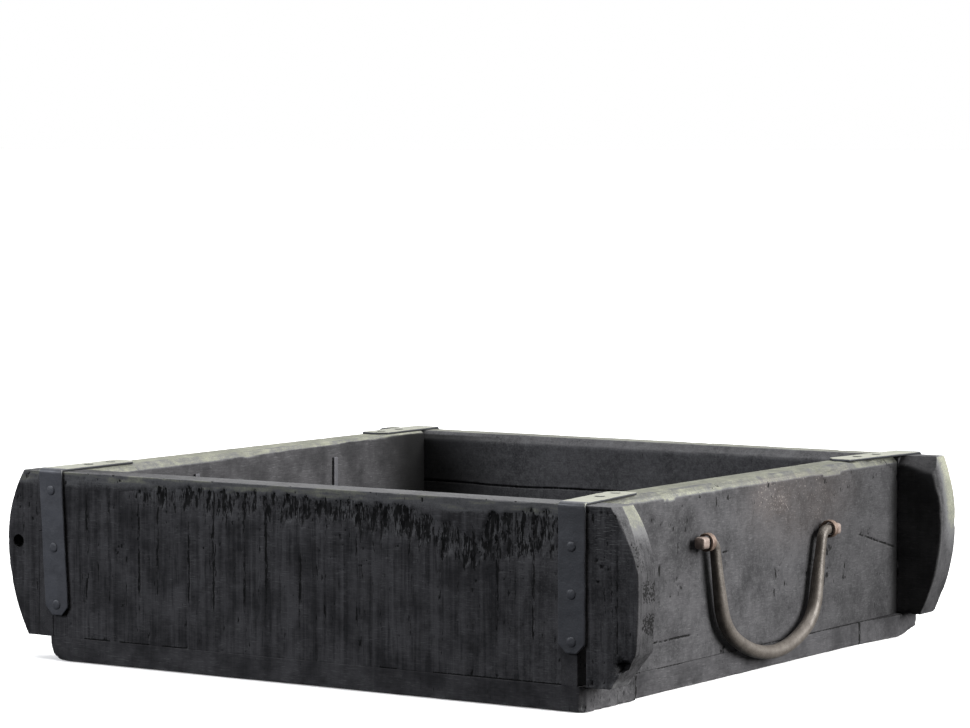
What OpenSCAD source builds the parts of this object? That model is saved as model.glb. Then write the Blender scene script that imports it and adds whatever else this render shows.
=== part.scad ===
// Old wooden brick mould made into a tray.
// Two long walls run past two end walls as rounded ears.
// Iron straps tie the corners and a forged bail hangs on each end wall.
// X runs along the long walls, Y from front to back and Z up, with the origin under the middle.

/* [Box] */
// Length over the outer faces of the two end walls
end_face_span = 352; // [280:1:460]
// Depth over the outer faces of the two long walls
depth = 366; // [300:1:460]
// Height of the walls above the floor
wall_h = 91.5; // [80:0.5:130]
// Thickness of the long walls
long_wall_t = 19; // [15:0.5:28]
// Thickness of the end walls
end_wall_t = 20; // [18:0.5:34]
// Thickness of the floor
floor_t = 13.5; // [10:0.5:22]

/* [Ears] */
// Height of the ears' widest point above the floor
ear_crest = 53; // [45:0.5:60]
// Reach of the front wall's left ear
front_left_reach = 22.5; // [20:0.5:45]
// Upper radius of the front wall's left ear
front_left_top_r = 68; // [60:1:140]
// Lower radius of the front wall's left ear
front_left_low_r = 105; // [75:1:200]
// Reach of the front wall's right ear
front_right_reach = 35.5; // [24:0.5:50]
// Upper radius of the front wall's right ear
front_right_top_r = 62; // [60:1:140]
// Lower radius of the front wall's right ear
front_right_low_r = 400; // [75:1:600]
// Length of the cut across the foot of the front wall's right ear
foot_cut_run = 17; // [8:0.5:20]
// Height of the cut across the foot of the front wall's right ear
foot_cut_rise = 20; // [8:0.5:30]
// Reach of the back wall's left ear
back_left_reach = 27; // [18:0.5:45]
// Upper radius of the back wall's left ear
back_left_top_r = 78; // [60:1:140]
// Lower radius of the back wall's left ear
back_left_low_r = 95; // [75:1:200]
// Reach of the back wall's right ear
back_right_reach = 28.5; // [18:0.5:45]
// Upper radius of the back wall's right ear
back_right_top_r = 100; // [60:1:140]
// Lower radius of the back wall's right ear
back_right_low_r = 111; // [75:1:200]
// Diameter of the hanging hole in the front wall's left ear
ear_hole_d = 7.4; // [3:0.1:8]
// Distance of the hanging hole from the tip of its ear
ear_hole_edge = 7.5; // [6:0.1:9]
// Height of the crest above the hole
ear_hole_drop = 1.5; // [0:0.5:4]

/* [Corner joints] */
// Thickness of the end walls' tenons
tenon_t = 9.5; // [7:0.1:9.5]
// Height of the tenons from the foot of the walls
tenon_h = 58; // [45:0.5:64]
// Gap between a tenon and the slot it sits in
tenon_gap = 0.3; // [0.1:0.05:0.6]
// Extra width worn into the slot at the front right corner
worn_slot = 4.5; // [0:0.1:5]

/* [Floor] */
// Width of the front runner
front_runner_w = 52; // [40:0.5:70]
// Width of the back runner
back_runner_w = 66; // [40:0.5:90]
// Distance of the floor's left end from the left end wall's outer face
floor_left_inset = 8; // [0:0.5:12]
// Length of the runners past the right end wall's outer face
runner_right_over = 3.5; // [0:0.5:8]
// Gap between neighbouring cross boards
board_gap = 0.4; // [0.1:0.1:1.5]
// Length of the stub tenons at the ends of the cross boards
stub_l = 9; // [5:0.5:12]
// Thickness of the stub tenons
stub_t = 5; // [3:0.5:6]
// Shoulder beside each stub tenon
stub_shoulder = 6; // [3:0.5:10]
// Gap round a stub tenon in its mortise
stub_gap = 0.2; // [0.1:0.05:0.4]

/* [Straps] */
// Width of the iron straps
strap_w = 16.5; // [13:0.5:20]
// Thickness of the iron straps
strap_t = 1.6; // [1:0.1:3]
// Length of a strap's leg past its last nail
strap_tail = 6; // [5:0.5:10]
// Length of the front left strap along the top, from the long wall's outer face
front_left_run = 66; // [60:0.5:80]
// Length of the front right strap along the top
front_right_run = 61; // [60:0.5:80]
// Length of the back left strap along the top
back_left_run = 60; // [60:0.5:80]
// Length of the back right strap along the top
back_right_run = 71; // [60:0.5:80]
// Corners cut off the ends of the straps
strap_corner = 5; // [2:0.5:5.5]
// Distance of the right straps' middle from the end wall's outer face
right_strap_inset = 3; // [2.5:0.1:8]
// Distance of the left straps' middle from the end wall's outer face
left_strap_inset = 9.4; // [8:0.1:10]
// Sideways lean of the left straps over their length
left_strap_lean = 4.4; // [3:0.1:6]
// Angle by which the right straps turn inwards along the top
right_run_turn = 7; // [5:0.5:7]

/* [Strap nails] */
// Diameter of the nail heads
nail_head_d = 5.6; // [4:0.1:7]
// Diameter of the nail heads' flat tops
nail_top_d = 3.9; // [2:0.1:4]
// Height of the nail heads
nail_head_h = 1; // [0.6:0.1:2]
// Diameter of the nail shanks
nail_d = 2.4; // [1.6:0.1:3]
// Length of the nails under the head
nail_l = 15; // [10:0.5:18]
// Gap round a nail shank
nail_gap = 0.03; // [0.01:0.01:0.1]
// Nails down the leg of each strap
leg_nails = 3; // [2:1:3]
// Distance of a right strap's first nail from the top of the wall
right_nail_first = 21; // [14:0.5:24]
// Spacing of the nails down a right strap
right_nail_pitch = 24; // [16:0.5:30]
// Distance of a left strap's first nail from the top of the wall
left_nail_first = 10.5; // [8:0.5:14]
// Spacing of the nails down a left strap
left_nail_pitch = 31.5; // [20:0.5:34]
// Nails along the top of each strap
run_nails = 2; // [1:1:2]
// Distance of the first top nail from the long wall's outer face
run_nail_first = 32; // [30:0.5:34]
// Spacing of the top nails
run_nail_pitch = 19; // [8:0.5:19]

/* [Floor nails] */
// Diameter of the floor nails' heads
floor_nail_head_d = 6.5; // [4:0.1:9]
// Thickness of the floor nails' heads
floor_nail_head_h = 1.2; // [0.8:0.1:2]
// Diameter of the floor nails' shanks
floor_nail_d = 2.8; // [2:0.1:4]
// Length of the floor nails
floor_nail_l = 38; // [28:0.5:44]
// Nails along each runner
runner_nails = 4; // [2:1:5]
// Distance of a runner's outermost nails from the end walls' outer faces
runner_nail_inset = 48; // [40:0.5:70]
// Nails along each end of the floor
end_nails = 3; // [2:1:4]
// Distance of the end nails from the end walls' outer faces
end_nail_inset = 14; // [12:0.1:16]
// Distance of the outermost end nails from the runners
end_nail_margin = 38; // [25:0.5:50]

/* [Eyes] */
// Distance between the two eyes of a handle
eye_span = 135.5; // [110:0.5:160]
// Height of the middle between the eyes above the floor
eye_h = 60; // [56:0.5:64]
// Distance of the left handle's middle from the middle of its wall
left_eye_shift = 0; // [-15:0.5:15]
// Distance of the right handle's middle from the middle of its wall
right_eye_shift = 4; // [-15:0.5:15]
// Angle by which the left handle's front eye sits high
left_eye_tilt = 0; // [-3:0.1:3]
// Angle by which the right handle's front eye sits high
right_eye_tilt = 2; // [-3:0.1:3]
// Gap between an eye and the end wall's outer face
eye_gap = 0.4; // [0.3:0.1:4]
// Radius of the hole in an eye
eye_hole_r = 3.5; // [3.4:0.1:4.6]
// Thickness of the split pins' iron
pin_t = 1.5; // [1.2:0.1:2.5]
// Width of the split pins' iron
pin_w = 4; // [3:0.1:5]
// Length of the split pins' clinched legs
pin_leg = 22; // [14:0.5:26]
// Gap between a split pin and the hole through the wall
pin_gap = 0.2; // [0.1:0.05:0.5]

/* [Bails] */
// Radius of the rod in the middle of a bail
rod_r = 3.9; // [3:0.1:5]
// Radius of the rod in the eyes
journal_r = 3; // [2.2:0.1:3.2]
// Swelling of the rod where its stretches meet
swell = 0.1; // [0.08:0.01:0.15]
// Radius of the upset head at each end of the rod
head_r = 3.9; // [3.4:0.1:5]
// Length of the upset head
head_l = 5.5; // [2:0.1:7]
// Gap between the journal and the bottom of its eye
journal_gap = 0.3; // [0.2:0.05:0.5]
// Free play of the rod between its head, the eye and the elbow
side_play = 0.8; // [0.4:0.1:1.5]
// Drop of a bail from its hinge to the middle of the rod at the bottom
bail_drop = 63.5; // [50:0.5:65]
// Radius of the elbow beside each eye
elbow_r = 6; // [5:0.5:10]
// Lean of the arms towards each other
arm_lean = 12; // [6:0.5:16]
// Radius of the bail's lower corners
corner_r = 27; // [20:0.5:32]
// Half of the angle that the flat bottom arc turns through
bottom_turn = 30; // [24:1:36]

/* [Hidden] */
$fn = 96;
// Cutting shapes reach this far past the faces they open
cut = 1;

wall_top = floor_t + wall_h;
left_over = max(front_left_reach, back_left_reach);
right_over = max(front_right_reach, back_right_reach);
// The whole length is centred on the origin, so the unequal ears shift the box along X
left_face = left_over - (end_face_span + left_over + right_over) / 2;
right_face = left_face + end_face_span;
front_face = -depth / 2;
back_face = depth / 2;
end_wall_l = depth - 2 * long_wall_t;

floor_left = left_face + floor_left_inset;
floor_l = right_face - floor_left;
// One cross board for each floor_board node
board_count = 5;
board_w = (floor_l - (board_count - 1) * board_gap) / board_count;
board_front = front_face + front_runner_w;
board_l = depth - front_runner_w - back_runner_w;

left_strap_leg = left_nail_first + (leg_nails - 1) * left_nail_pitch + strap_tail;
right_strap_leg = right_nail_first + (leg_nails - 1) * right_nail_pitch + strap_tail;

eye_z = floor_t + eye_h;
hinge_drop = eye_hole_r - journal_r - journal_gap;
eye_r = eye_hole_r + pin_t;
eye_standoff = eye_r + eye_gap;
pin_bore_r = norm([pin_w / 2, pin_t]) + pin_gap;

// The bail's arm and bottom arc are the lengths that close its outline at the drop
elbow_y = eye_span / 2 - pin_w / 2 - side_play;
arm_width = elbow_y - elbow_r * cos(arm_lean) - corner_r * (cos(arm_lean) - sin(bottom_turn));
arm_drop = bail_drop - elbow_r * (1 - sin(arm_lean)) - corner_r * (cos(bottom_turn) - sin(arm_lean));
solve = sin(arm_lean) * (1 - cos(bottom_turn)) - cos(arm_lean) * sin(bottom_turn);
arm_l = (arm_width * (1 - cos(bottom_turn)) - arm_drop * sin(bottom_turn)) / solve;
bottom_r = (sin(arm_lean) * arm_drop - cos(arm_lean) * arm_width) / solve;

wood = "#3a3a3d";
iron = "#2f3136";
rod = "#6b6660";

// Moves a shape drawn at the front of an end wall to one of the four corners.
// The shape's X is the distance inwards from the end wall's outer face, its Y from the long wall's.
module at_corner(right, back) {
    translate([right ? right_face : left_face, back ? back_face : front_face, 0])
        mirror([right ? 1 : 0, 0, 0])
            mirror([0, back ? 1 : 0, 0])
                children();
}

// Moves a shape to a handle's middle, with X inwards from the end wall's outer face
module at_handle(right) {
    at_corner(right, false)
        translate([0, depth / 2 + (right ? right_eye_shift : left_eye_shift), eye_z])
            rotate([right ? -right_eye_tilt : -left_eye_tilt, 0, 0])
                children();
}

// One ear's outline past the end wall's outer face: two arcs that meet at the crest
module ear_outline(reach, top_r, low_r) {
    intersection() {
        translate([-cut, ear_crest])
            square([reach + cut, wall_h - ear_crest]);
        translate([reach - top_r, ear_crest])
            circle(r = top_r);
    }
    intersection() {
        translate([-cut, 0])
            square([reach + cut, ear_crest]);
        translate([reach - low_r, ear_crest])
            circle(r = low_r);
    }
}

// A long wall's outline, with X from the left end wall's outer face and Y up from the floor
module long_wall_outline(left_reach, left_top_r, left_low_r, right_reach, right_top_r, right_low_r) {
    square([end_face_span, wall_h]);
    mirror([1, 0])
        ear_outline(left_reach, left_top_r, left_low_r);
    translate([end_face_span, 0])
        ear_outline(right_reach, right_top_r, right_low_r);
}

// Stands an outline up as a long wall whose outer face is on the front or the back
module stand_wall(back) {
    translate([left_face, back ? back_face : front_face + long_wall_t, floor_t])
        rotate([90, 0, 0])
            linear_extrude(long_wall_t)
                children();
}

// Slot for a tenon, open at the foot of the wall
module tenon_slot(extra) {
    translate([-extra - tenon_gap, -cut, floor_t - cut])
        cube([tenon_t + extra + 2 * tenon_gap, long_wall_t + 2 * cut, tenon_h + tenon_gap + cut]);
}

// Strap nail with its head's underside at the origin, driven along -Z, or its hole when a gap is given
module strap_nail(gap) {
    translate([0, 0, -nail_l])
        cylinder(d = nail_d + 2 * gap, h = nail_l + (gap > 0 ? cut : 0));
    if (gap == 0)
        cylinder(d1 = nail_head_d, d2 = nail_top_d, h = nail_head_h);
}

// The nails of one strap, or their holes when a gap is given
module strap_nails(right, gap) {
    inset = right ? right_strap_inset : left_strap_inset;
    slope = right ? 0 : left_strap_lean / left_strap_leg;
    first = right ? right_nail_first : left_nail_first;
    pitch = right ? right_nail_pitch : left_nail_pitch;
    run_slope = right ? tan(right_run_turn) : 0;
    for (i = [0 : leg_nails - 1]) {
        drop = first + i * pitch;
        translate([inset + slope * drop, -strap_t, wall_top - drop])
            rotate([90, 0, 0])
                strap_nail(gap);
    }
    for (i = [0 : run_nails - 1]) {
        along = run_nail_first + i * run_nail_pitch;
        translate([inset + run_slope * along, along, wall_top + strap_t])
            strap_nail(gap);
    }
}

// Nails up through the runners into the long walls, or their holes
module runner_nail_set(gap) {
    step = (end_face_span - 2 * runner_nail_inset) / (runner_nails - 1);
    for (y = [front_face + long_wall_t / 2, back_face - long_wall_t / 2])
        for (i = [0 : runner_nails - 1])
            translate([left_face + runner_nail_inset + i * step, y, 0])
                floor_nail(gap);
}

// Nails up through the outer cross boards into the end walls, or their holes
module board_nail_set(gap) {
    step = (board_l - 2 * end_nail_margin) / (end_nails - 1);
    for (x = [left_face + end_nail_inset, right_face - end_nail_inset])
        for (i = [0 : end_nails - 1])
            translate([x, board_front + end_nail_margin + i * step, 0])
                floor_nail(gap);
}

// Floor nail whose flat head is flush with the underside
module floor_nail(gap) {
    translate([0, 0, -(gap > 0 ? cut : 0)])
        cylinder(d = floor_nail_head_d + 2 * gap, h = floor_nail_head_h + (gap > 0 ? cut : 0));
    cylinder(d = floor_nail_d + 2 * gap, h = floor_nail_l + gap);
}

module front_wall() {
    color(wood)
    difference() {
        stand_wall(false)
            difference() {
                long_wall_outline(front_left_reach, front_left_top_r, front_left_low_r,
                                  front_right_reach, front_right_top_r, front_right_low_r);
                translate([end_face_span + front_right_reach, 0])
                    polygon([[cut, -cut], [-foot_cut_run, -cut], [-foot_cut_run, 0], [0, foot_cut_rise],
                             [cut, foot_cut_rise]]);
                translate([ear_hole_edge - front_left_reach, ear_crest - ear_hole_drop])
                    circle(d = ear_hole_d);
            }
        at_corner(false, false) {
            tenon_slot(0);
            strap_nails(false, nail_gap);
        }
        at_corner(true, false) {
            tenon_slot(worn_slot);
            strap_nails(true, nail_gap);
        }
        runner_nail_set(nail_gap);
    }
}

module back_wall() {
    color(wood)
    difference() {
        stand_wall(true)
            long_wall_outline(back_left_reach, back_left_top_r, back_left_low_r,
                              back_right_reach, back_right_top_r, back_right_low_r);
        for (right = [false, true])
            at_corner(right, true) {
                tenon_slot(0);
                strap_nails(right, nail_gap);
            }
        runner_nail_set(nail_gap);
    }
}

// End wall between the long walls, with a tenon through each of them
module end_wall(right) {
    difference() {
        union() {
            at_corner(right, false)
                translate([0, long_wall_t, floor_t])
                    cube([end_wall_t, end_wall_l, wall_h]);
            at_corner(right, false)
                translate([0, 0, floor_t])
                    cube([tenon_t, depth, tenon_h]);
        }
        for (back = [false, true])
            at_corner(right, back)
                strap_nails(right, nail_gap);
        board_nail_set(nail_gap);
        for (y = [-eye_span / 2, eye_span / 2])
            at_handle(right)
                translate([-cut, y, 0])
                    rotate([0, 90, 0])
                        cylinder(r = pin_bore_r, h = end_wall_t + 2 * cut);
    }
}

module left_end_wall() {
    color(wood)
        end_wall(false);
}

module right_end_wall() {
    color(wood)
        end_wall(true);
}

// Stub tenons of every cross board, or their mortises when a gap is given
module board_stubs(i, gap) {
    x = floor_left + i * (board_w + board_gap) + stub_shoulder;
    translate([x - gap, board_front - stub_l - gap, (floor_t - stub_t) / 2 - gap])
        cube([board_w - 2 * stub_shoulder + 2 * gap, board_l + 2 * stub_l + 2 * gap, stub_t + 2 * gap]);
}

// Runner under a long wall, mortised for the cross boards
module runner(y, w) {
    difference() {
        translate([floor_left, y, 0])
            cube([floor_l + runner_right_over, w, floor_t]);
        for (i = [0 : board_count - 1])
            board_stubs(i, stub_gap);
        runner_nail_set(nail_gap);
    }
}

module front_runner() {
    color(wood)
        runner(front_face, front_runner_w);
}

module back_runner() {
    color(wood)
        runner(back_face - back_runner_w, back_runner_w);
}

// Cross board with a stub tenon at each end
module floor_board(i) {
    color(wood)
    difference() {
        union() {
            translate([floor_left + i * (board_w + board_gap), board_front, 0])
                cube([board_w, board_l, floor_t]);
            board_stubs(i, 0);
        }
        board_nail_set(nail_gap);
    }
}

module runner_nails_group() {
    color(iron)
        runner_nail_set(0);
}

module board_nails_group() {
    color(iron)
        board_nail_set(0);
}

// Flat iron strap bent over the long wall's top edge, with its nail holes
module strap(right, run) {
    inset = right ? right_strap_inset : left_strap_inset;
    leg = right ? right_strap_leg : left_strap_leg;
    lean = right ? 0 : left_strap_lean;
    run_slope = right ? tan(right_run_turn) : 0;
    half = strap_w / 2;
    color(iron)
    difference() {
        translate([inset, 0, wall_top]) {
            rotate([90, 0, 0])
                linear_extrude(strap_t)
                    polygon([[-half, 0], [half, 0],
                             [half + lean, strap_corner - leg],
                             [half + lean - strap_corner, -leg],
                             [-half + lean + strap_corner, -leg],
                             [-half + lean, strap_corner - leg]]);
            linear_extrude(strap_t)
                polygon([[-half, 0], [half, 0],
                         [half + run_slope * (run - strap_corner), run - strap_corner],
                         [half + run_slope * run - strap_corner, run],
                         [-half + run_slope * run, run]]);
            intersection() {
                rotate([0, 90, 0])
                    cylinder(r = strap_t, h = strap_w, center = true);
                translate([-strap_w, -2 * strap_t, 0])
                    cube([2 * strap_w, 2 * strap_t, 2 * strap_t]);
            }
        }
        strap_nails(right, nail_gap);
    }
}

module strap_front_left() {
    at_corner(false, false)
        strap(false, front_left_run);
}

module strap_front_right() {
    at_corner(true, false)
        strap(true, front_right_run);
}

module strap_back_left() {
    at_corner(false, true)
        strap(false, back_left_run);
}

module strap_back_right() {
    at_corner(true, true)
        strap(true, back_right_run);
}

module nails_front_left() {
    color(iron)
        at_corner(false, false)
            strap_nails(false, 0);
}

module nails_front_right() {
    color(iron)
        at_corner(true, false)
            strap_nails(true, 0);
}

module nails_back_left() {
    color(iron)
        at_corner(false, true)
            strap_nails(false, 0);
}

module nails_back_right() {
    color(iron)
        at_corner(true, true)
            strap_nails(true, 0);
}

// Split pin: a strip folded round an eye, its two ends clinched up and down inside the wall
module split_pin(right, side) {
    color(rod)
    at_handle(right)
        translate([0, side * eye_span / 2 + pin_w / 2, 0])
            rotate([90, 0, 0])
                linear_extrude(pin_w)
                    difference() {
                        union() {
                            translate([-eye_standoff, 0])
                                circle(r = eye_r);
                            translate([-eye_standoff, -pin_t])
                                square([eye_standoff + end_wall_t + pin_t, 2 * pin_t]);
                            translate([end_wall_t, -pin_leg])
                                square([pin_t, 2 * pin_leg]);
                        }
                        translate([-eye_standoff, 0])
                            circle(r = eye_hole_r);
                    }
}

module split_pin_left_front() {
    split_pin(false, -1);
}

module split_pin_left_back() {
    split_pin(false, 1);
}

module split_pin_right_front() {
    split_pin(true, -1);
}

module split_pin_right_back() {
    split_pin(true, 1);
}

// Arc of round rod in the plane of Y and Z: bend radius, rod radius, start and turn in degrees from +Y
module rod_arc(bend, r, start, turn) {
    rotate([90, 0, 90])
        rotate([0, 0, start])
            rotate_extrude(angle = turn)
                translate([bend, 0])
                    circle(r = r);
}

// Slight swelling that forging leaves where two stretches of the rod meet
module swelling(y, z, r) {
    translate([0, y, z])
        sphere(r = r + swell);
}

// Half of a bail on the side of +Y, with the hinge through the origin along Y
module half_bail() {
    elbow_end_y = elbow_y - elbow_r * cos(arm_lean);
    elbow_end_z = -elbow_r * (1 - sin(arm_lean));
    turn_y = bottom_r * sin(bottom_turn);
    turn_z = bottom_r * (1 - cos(bottom_turn)) - bail_drop;
    swelling(elbow_y, 0, journal_r);
    swelling(elbow_end_y, elbow_end_z, journal_r);
    swelling(elbow_end_y - arm_l * sin(arm_lean), elbow_end_z - arm_l * cos(arm_lean), rod_r);
    swelling(turn_y, turn_z, rod_r);
    translate([0, elbow_y, 0])
        rotate([-90, 0, 0])
            cylinder(r = journal_r, h = pin_w + 2 * side_play);
    translate([0, elbow_y + pin_w + 2 * side_play, 0])
        rotate([-90, 0, 0])
            cylinder(r = head_r, h = head_l);
    translate([0, elbow_y, -elbow_r])
        rod_arc(elbow_r, journal_r, 90, 90 - arm_lean);
    translate([0, elbow_end_y, elbow_end_z])
        rotate([180 - arm_lean, 0, 0])
            cylinder(r1 = journal_r, r2 = rod_r, h = arm_l);
    translate([0, turn_y - corner_r * sin(bottom_turn), turn_z + corner_r * cos(bottom_turn)])
        rod_arc(corner_r, rod_r, bottom_turn - 90, 90 - arm_lean - bottom_turn);
}

// Bail hanging straight down from its two eyes
module bail(right) {
    color(rod)
    at_handle(right)
        translate([-eye_standoff, 0, -hinge_drop]) {
            translate([0, 0, bottom_r - bail_drop])
                rod_arc(bottom_r, rod_r, -90 - bottom_turn, 2 * bottom_turn);
            half_bail();
            mirror([0, 1, 0])
                half_bail();
        }
}

module bail_left() {
    bail(false);
}

module bail_right() {
    bail(true);
}

front_wall();
back_wall();
left_end_wall();
right_end_wall();
front_runner();
back_runner();
floor_board(0);  // floor_board_1
floor_board(1);  // floor_board_2
floor_board(2);  // floor_board_3
floor_board(3);  // floor_board_4
floor_board(4);  // floor_board_5
runner_nails_group();
board_nails_group();
strap_front_left();
strap_front_right();
strap_back_left();
strap_back_right();
nails_front_left();
nails_front_right();
nails_back_left();
nails_back_right();
split_pin_left_front();
split_pin_left_back();
split_pin_right_front();
split_pin_right_back();
bail_left();
bail_right();
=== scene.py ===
# %% [markdown]
# A brick mould that became a tray: two long boards with rounded ears, two end boards between them, a plank
# floor, iron straps nailed over the corners and a forged bail handle on each end. The exact model of its
# construction already exists, so this lesson only gives it its worn surfaces. It starts by loading that
# model as a fixed frame, and every piece made below lies where the frame says.

# %% Load the frame
import math

import bpy
import numpy as np
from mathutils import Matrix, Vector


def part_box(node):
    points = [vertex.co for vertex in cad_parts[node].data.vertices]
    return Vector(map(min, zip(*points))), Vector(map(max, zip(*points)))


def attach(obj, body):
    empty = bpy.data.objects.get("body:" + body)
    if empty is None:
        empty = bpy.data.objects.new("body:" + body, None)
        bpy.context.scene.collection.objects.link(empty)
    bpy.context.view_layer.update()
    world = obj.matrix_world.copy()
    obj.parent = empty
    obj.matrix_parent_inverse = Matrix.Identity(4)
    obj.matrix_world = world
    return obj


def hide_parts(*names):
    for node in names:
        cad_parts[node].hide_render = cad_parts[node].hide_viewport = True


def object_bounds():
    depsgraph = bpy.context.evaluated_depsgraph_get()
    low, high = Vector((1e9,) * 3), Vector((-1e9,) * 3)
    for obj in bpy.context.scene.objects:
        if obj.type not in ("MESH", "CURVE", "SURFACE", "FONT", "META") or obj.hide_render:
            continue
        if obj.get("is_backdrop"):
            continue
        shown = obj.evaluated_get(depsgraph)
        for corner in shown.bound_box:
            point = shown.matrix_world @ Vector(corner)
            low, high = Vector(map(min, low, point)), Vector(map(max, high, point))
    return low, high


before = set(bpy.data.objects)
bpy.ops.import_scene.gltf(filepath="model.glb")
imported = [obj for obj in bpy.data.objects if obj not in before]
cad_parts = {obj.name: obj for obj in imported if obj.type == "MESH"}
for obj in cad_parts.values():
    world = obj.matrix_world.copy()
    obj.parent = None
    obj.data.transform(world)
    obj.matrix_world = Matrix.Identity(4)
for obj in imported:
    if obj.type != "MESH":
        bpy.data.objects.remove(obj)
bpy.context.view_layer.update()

# %% [markdown]
# A joiner thinks of this box in millimetres, so the shapes below are worked out in millimetres and turned
# into Blender's metres only when a mesh is made. The main faces come from the frame's own boxes, which keeps
# the dressed pieces on the construction even if its sizes change.

# %% Faces of the box, in millimetres
MM = 0.001


def node_box(node):
    """Lowest and highest corner of a node of the frame, in millimetres."""
    low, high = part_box(node)
    return np.array(low) / MM, np.array(high) / MM


front_low, front_high = node_box("front_wall")
back_low, back_high = node_box("back_wall")
left_low, left_high = node_box("left_end_wall")
right_low, right_high = node_box("right_end_wall")
FRONT, BACK = front_low[1], back_high[1]
LEFT, RIGHT = left_low[0], right_high[0]
FOOT, TOP = front_low[2], front_high[2]
INNER_FRONT, INNER_BACK = front_high[1], back_low[1]
print("walls:", round(RIGHT - LEFT), "by", round(BACK - FRONT), "mm, up to", round(TOP, 1), "mm")

# %% [markdown]
# The photograph was taken from low down with a long lens. Its place follows from the vanishing lines of the
# box: the edges that run to the left and to the right fix the turn, and the narrow strip of top surface fixes
# the height. A camera object with the same place, angle and lens then sees the box the same way.

# %% Camera
CAMERA_PLACE = (1.14505, -1.73170, 0.28597)
CAMERA_TURN = math.radians(33.6025)
CAMERA_DIP = math.radians(3.4533)
PHOTO_WIDTH = 970
FOCAL_PIXELS = 3674.8
SENSOR = 36.0

camera = bpy.data.objects.new("camera", bpy.data.cameras.new("camera"))
camera.location = CAMERA_PLACE
camera.rotation_euler = (math.pi / 2 - CAMERA_DIP, 0, CAMERA_TURN)
camera.data.sensor_width = SENSOR
camera.data.lens = FOCAL_PIXELS / PHOTO_WIDTH * SENSOR
bpy.context.scene.collection.objects.link(camera)
bpy.context.scene.camera = camera
print("camera: lens", round(camera.data.lens, 1), "mm")

# %% [markdown]
# Lights and finishes can be trees of small nodes in Blender. A few helpers keep such trees short to write:
# one adds any node, with its inputs set to values or linked to other nodes, and the others do sums and soft
# steps with it.

# %% Nodes
def new_finish(name):
    """A node material, its node tree and its shader."""
    material = bpy.data.materials.new(name)
    material.use_nodes = True
    return material, material.node_tree, material.node_tree.nodes["Principled BSDF"]


def add_node(tree, kind, inputs, **settings):
    """Adds a shader node. Inputs are set to values, or linked where they are sockets."""
    made = tree.nodes.new("ShaderNode" + kind)
    for key, value in settings.items():
        setattr(made, key, value)
    for key, value in inputs.items():
        if isinstance(value, bpy.types.NodeSocket):
            tree.links.new(value, made.inputs[key])
        else:
            made.inputs[key].default_value = value
    return made


def maths(tree, operation, a, b):
    """Two numbers joined by an operation."""
    return add_node(tree, "Math", {0: a, 1: b}, operation=operation).outputs[0]


def total(tree, a, b):
    """Two numbers added."""
    return maths(tree, "ADD", a, b)


def times(tree, a, b):
    """Two numbers multiplied."""
    return maths(tree, "MULTIPLY", a, b)


def ramp(tree, value, low, high, to_low=0, to_high=1):
    """Maps a value from the range low to high on to another range, by a smooth step."""
    ends = {"From Min": low, "From Max": high, "To Min": to_low, "To Max": to_high, "Value": value}
    return add_node(tree, "MapRange", ends, interpolation_type="SMOOTHSTEP").outputs["Result"]


print("node helpers ready")

# %% [markdown]
# The photograph has a plain white ground. One huge square stands for it, and the bright surroundings carry on
# from its far edge. The square glows a little, so that it stays white, and it is hidden from light that
# bounces, so that it doesn't brighten the box from below.

# %% Floor
FLOOR_SIZE, FLOOR_ROUGH = 200.0, 0.9
FLOOR_TONE, FLOOR_GLOW = (0.95, 0.95, 0.945, 1), 0.3


def make_floor():
    """A flat square under the box: x and y run over a grid, z stays at nought."""
    ends = [-FLOOR_SIZE / 2, FLOOR_SIZE / 2]
    x, y = np.meshgrid(ends, ends)
    corners = np.stack([x, y, np.zeros_like(x)], axis=-1).reshape(-1, 3)
    mesh = bpy.data.meshes.new("floor")
    mesh.from_pydata(corners.tolist(), [], [(0, 1, 3, 2)])
    floor = bpy.data.objects.new("floor", mesh)
    bpy.context.scene.collection.objects.link(floor)
    paper, _, shader = new_finish("pale_paper")
    shader.inputs["Base Color"].default_value = FLOOR_TONE
    shader.inputs["Roughness"].default_value = FLOOR_ROUGH
    shader.inputs["Emission Color"].default_value = FLOOR_TONE
    shader.inputs["Emission Strength"].default_value = FLOOR_GLOW
    mesh.materials.append(paper)
    floor.visible_diffuse = False
    floor.visible_glossy = False
    floor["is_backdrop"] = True


make_floor()
print("floor:", FLOOR_SIZE, "m wide")

# %% [markdown]
# One broad light stands low down to the right of the box: the end with the handle is bright, and the handle's
# shadow falls straight on to it. A weaker and slightly cool light from the front left lifts the long front,
# which the first light can't reach. A soft sun overhead whitens the ground. The surroundings are bright
# behind the box and dark in front of it and below, so that the tops of the boards, seen at a flat angle, pick
# up a pale sheen.

# %% Light
KEY_PLACE, KEY_SIZE, KEY_POWER = (2.1, 0.42, 0.76), 1.3, 120
FILL_PLACE, FILL_SIZE, FILL_POWER = (-1.55, -2.0, 1.1), 1.4, 41
KEY_TINT, FILL_TINT = (1, 1, 1), (0.93, 0.965, 1.05)
SUN_POWER, SUN_SPREAD = 3.0, math.radians(50)
BRIGHT_SIDE, DIM_SIDE, BELOW = 1.0, 0.05, 0.25
SIDE_BLEND, HORIZON_BLEND = (-0.2, 0.75), (-0.12, 0.0)


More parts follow.
